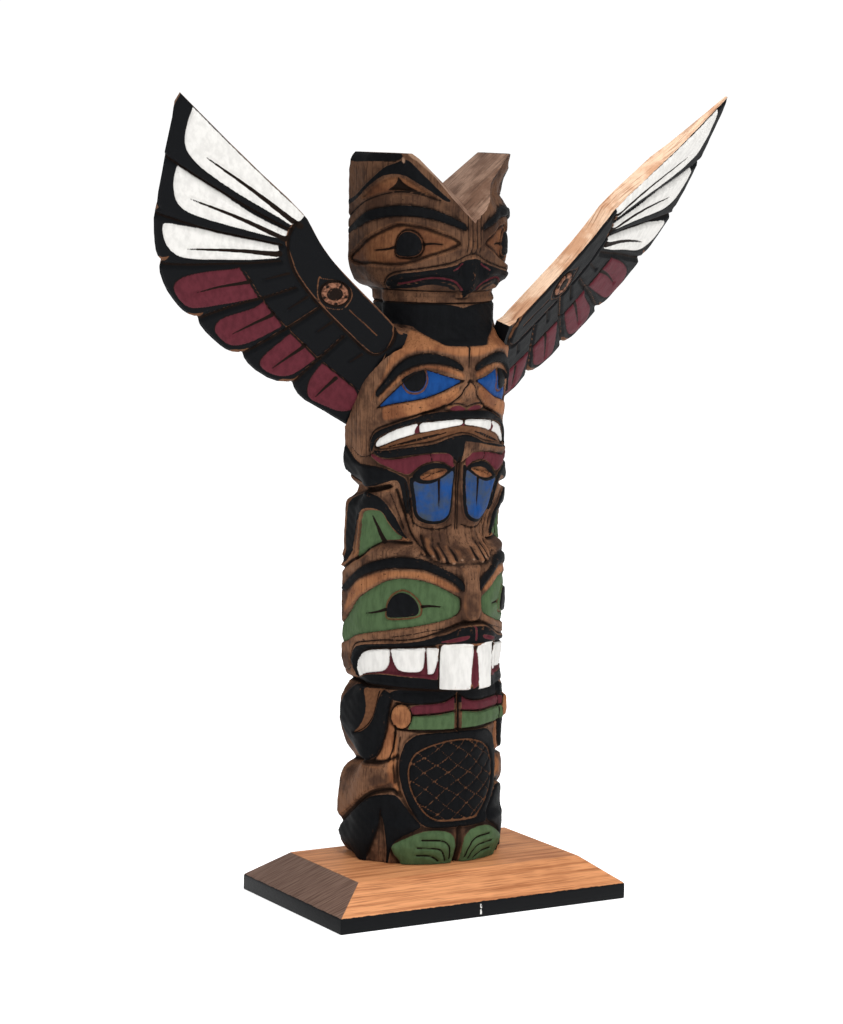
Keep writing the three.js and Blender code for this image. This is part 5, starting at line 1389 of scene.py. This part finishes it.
def sampled(field, rows, columns):
    """A picture's values at places given in rows and columns."""
    r, c = np.clip(rows, 0, field.shape[0] - 1.001), np.clip(columns, 0, field.shape[1] - 1.001)
    i, j = r.astype(int), c.astype(int)
    fr, fc = r - i, c - j
    return ((field[i, j] * (1 - fc) + field[i, j + 1] * fc) * (1 - fr)
            + (field[i + 1, j] * (1 - fc) + field[i + 1, j + 1] * fc) * fr)


def hollows(draw, field, step=0.5):
    """Where a drawing's relief is deeper than what is round it, near and a little wider."""
    (u0, u1), (z0, z1) = field
    us, zs = np.arange(u0, u1, step), np.arange(z0, z1, step)
    grid_u, grid_z = np.meshgrid(us, zs)
    relief = draw(grid_u.ravel(), grid_z.ravel()).relief.reshape(grid_u.shape)
    depth = (blurred(relief, 2) - relief) * 1.1 + (blurred(relief, 6) - relief) * 0.35
    return lambda u, z: sampled(depth, (z - z0) / step, (u - u0) / step)


AWAY = 80.0  # a girth beyond everything drawn
mesh = pole.data
corner_vertex = np.empty(len(mesh.loops), np.int32)
mesh.loops.foreach_get("vertex_index", corner_vertex)
corner_place = np.empty(len(mesh.loops) * 2, np.float32)
mesh.uv_layers["sheet"].uv.foreach_get("vector", corner_place)
corner_place = corner_place.reshape(-1, 2)
corner_material = np.repeat([face.material_index for face in mesh.polygons],
                            [len(face.vertices) for face in mesh.polygons])
carved = (corner_place[:, 1] > 0.01) & (corner_material == SURFACE)
u, z = np.full(len(mesh.vertices), AWAY), coordinates(mesh)[:, 2] / MM
u[corner_vertex[carved]] = (corner_place[carved, 0] - 0.5) * 2 * GIRTH
z[corner_vertex[carved]] = corner_place[carved, 1] * 2 * GIRTH
drawing = draw_pole(u, z)
# how far each point lies below or above what is round it, which the finishes turn into painted shade and painted
# highlight
hollow = hollows(draw_pole, ((-68, 68), LEVELS))(u, z)
hollow[np.abs(u) > GIRTH] = 0
set_attributes(mesh, {**drawing.paint, "hollow": hollow})
set_finishes(mesh, carved_paint, notch_wood, back_wood)
print("painted", mesh.name, {name: int((d < 0).sum()) for name, d in drawing.paint.items()})

# %% [markdown]
# On a wing the drawing needs no map, as each point's place on the board follows from its coordinates.
# The paint distances are stored on the points as on the pole.

# %% Painting the wings
for side, wing in wings.items():
    mesh = wing.data
    place = coordinates(mesh) / MM * (side, 1, 1) - BOARD_CORNER
    out, up = drawn_place(side, place @ BOARD_OUT, place @ BOARD_UP)
    drawing = draw_wing(out, up)
    set_attributes(mesh, {**drawing.paint, "hollow": hollows(draw_wing, WING_FIELD)(out, up)})
    set_finishes(mesh, wing_paint, raw_edge if side > 0 else stained_edge, back_wood)
set_finishes(plinth.data, plinth_wood)
print("painted wings and plinth")

# %% [markdown]
# Smooth shading is kept off the sharp arrises where a face of the raw wood meets the carving, and on
# the flat faces, by marking the edges that turn sharply.

# %% Arrises and hand over
for piece, node, slot, angle in ((pole, "pole", "carved_wood", 42), (wings[-1], "wing_left", "wing_wood", 42),
                                 (wings[1], "wing_right", "wing_wood", 42), (plinth, "plinth", "plinth_wood", 30)):
    piece.data.shade_smooth()
    piece.data.set_sharp_from_angle(angle=math.radians(angle))
    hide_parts(node)
    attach(piece, "root")
    print(piece.name, "stands for", node)

# %% [markdown]
# ## Floor and light
#
# The photograph is on plain white with soft light. The floor is a large white sheet, lit from below as
# on a photographer's table, so that it and the backdrop behind it are one white. The light is a soft sky,
# a broad lamp from the front, another overhead, and a weak one from the left.

# %% Stage
form = bmesh.new()
bmesh.ops.create_grid(form, x_segments=1, y_segments=1, size=6)
floor = new_object("floor", form)
paper = Finish("paper")
white = paper.node("ShaderNodeBsdfDiffuse", {0: srgb(245, 245, 245)}).outputs[0]
glow = paper.node("ShaderNodeEmission", {0: (1, 1, 1, 1), 1: 0.62}).outputs[0]
sheet = paper.node("ShaderNodeAddShader", {0: white, 1: glow}).outputs[0]
paper.node("ShaderNodeOutputMaterial", {0: sheet})
floor.data.materials.append(paper.material)

world = bpy.data.worlds.new("studio")
world.use_nodes = True
nodes, links = world.node_tree.nodes, world.node_tree.links
nodes["Background"].inputs[0].default_value = (1, 1, 1, 1)
seen = nodes.new("ShaderNodeMapRange")
seen.inputs["To Min"].default_value, seen.inputs["To Max"].default_value = 0.48, 1.05
links.new(nodes.new("ShaderNodeLightPath").outputs["Is Camera Ray"], seen.inputs["Value"])
links.new(seen.outputs[0], nodes["Background"].inputs[1])
bpy.context.scene.world = world
bpy.context.scene.view_settings.view_transform = "Standard"


def lamp(name, place, size, power):
    """A square soft box looking at the middle of the pole."""
    light = bpy.data.lights.new(name, "AREA")
    light.size, light.energy = size, power
    made = bpy.data.objects.new(name, light)
    bpy.context.scene.collection.objects.link(made)
    made.location = place
    made.rotation_euler = (Vector((0, 0, 0.17)) - Vector(place)).to_track_quat("-Z", "Y").to_euler()


lamp("key", (0.0, -1.6, 1.2), 0.8, 14)
lamp("overhead", (0.1, -0.2, 1.7), 0.9, 13)
lamp("fill", (-1.4, -0.8, 0.9), 1.0, 4)
print("lights", [light.name for light in bpy.data.lights])
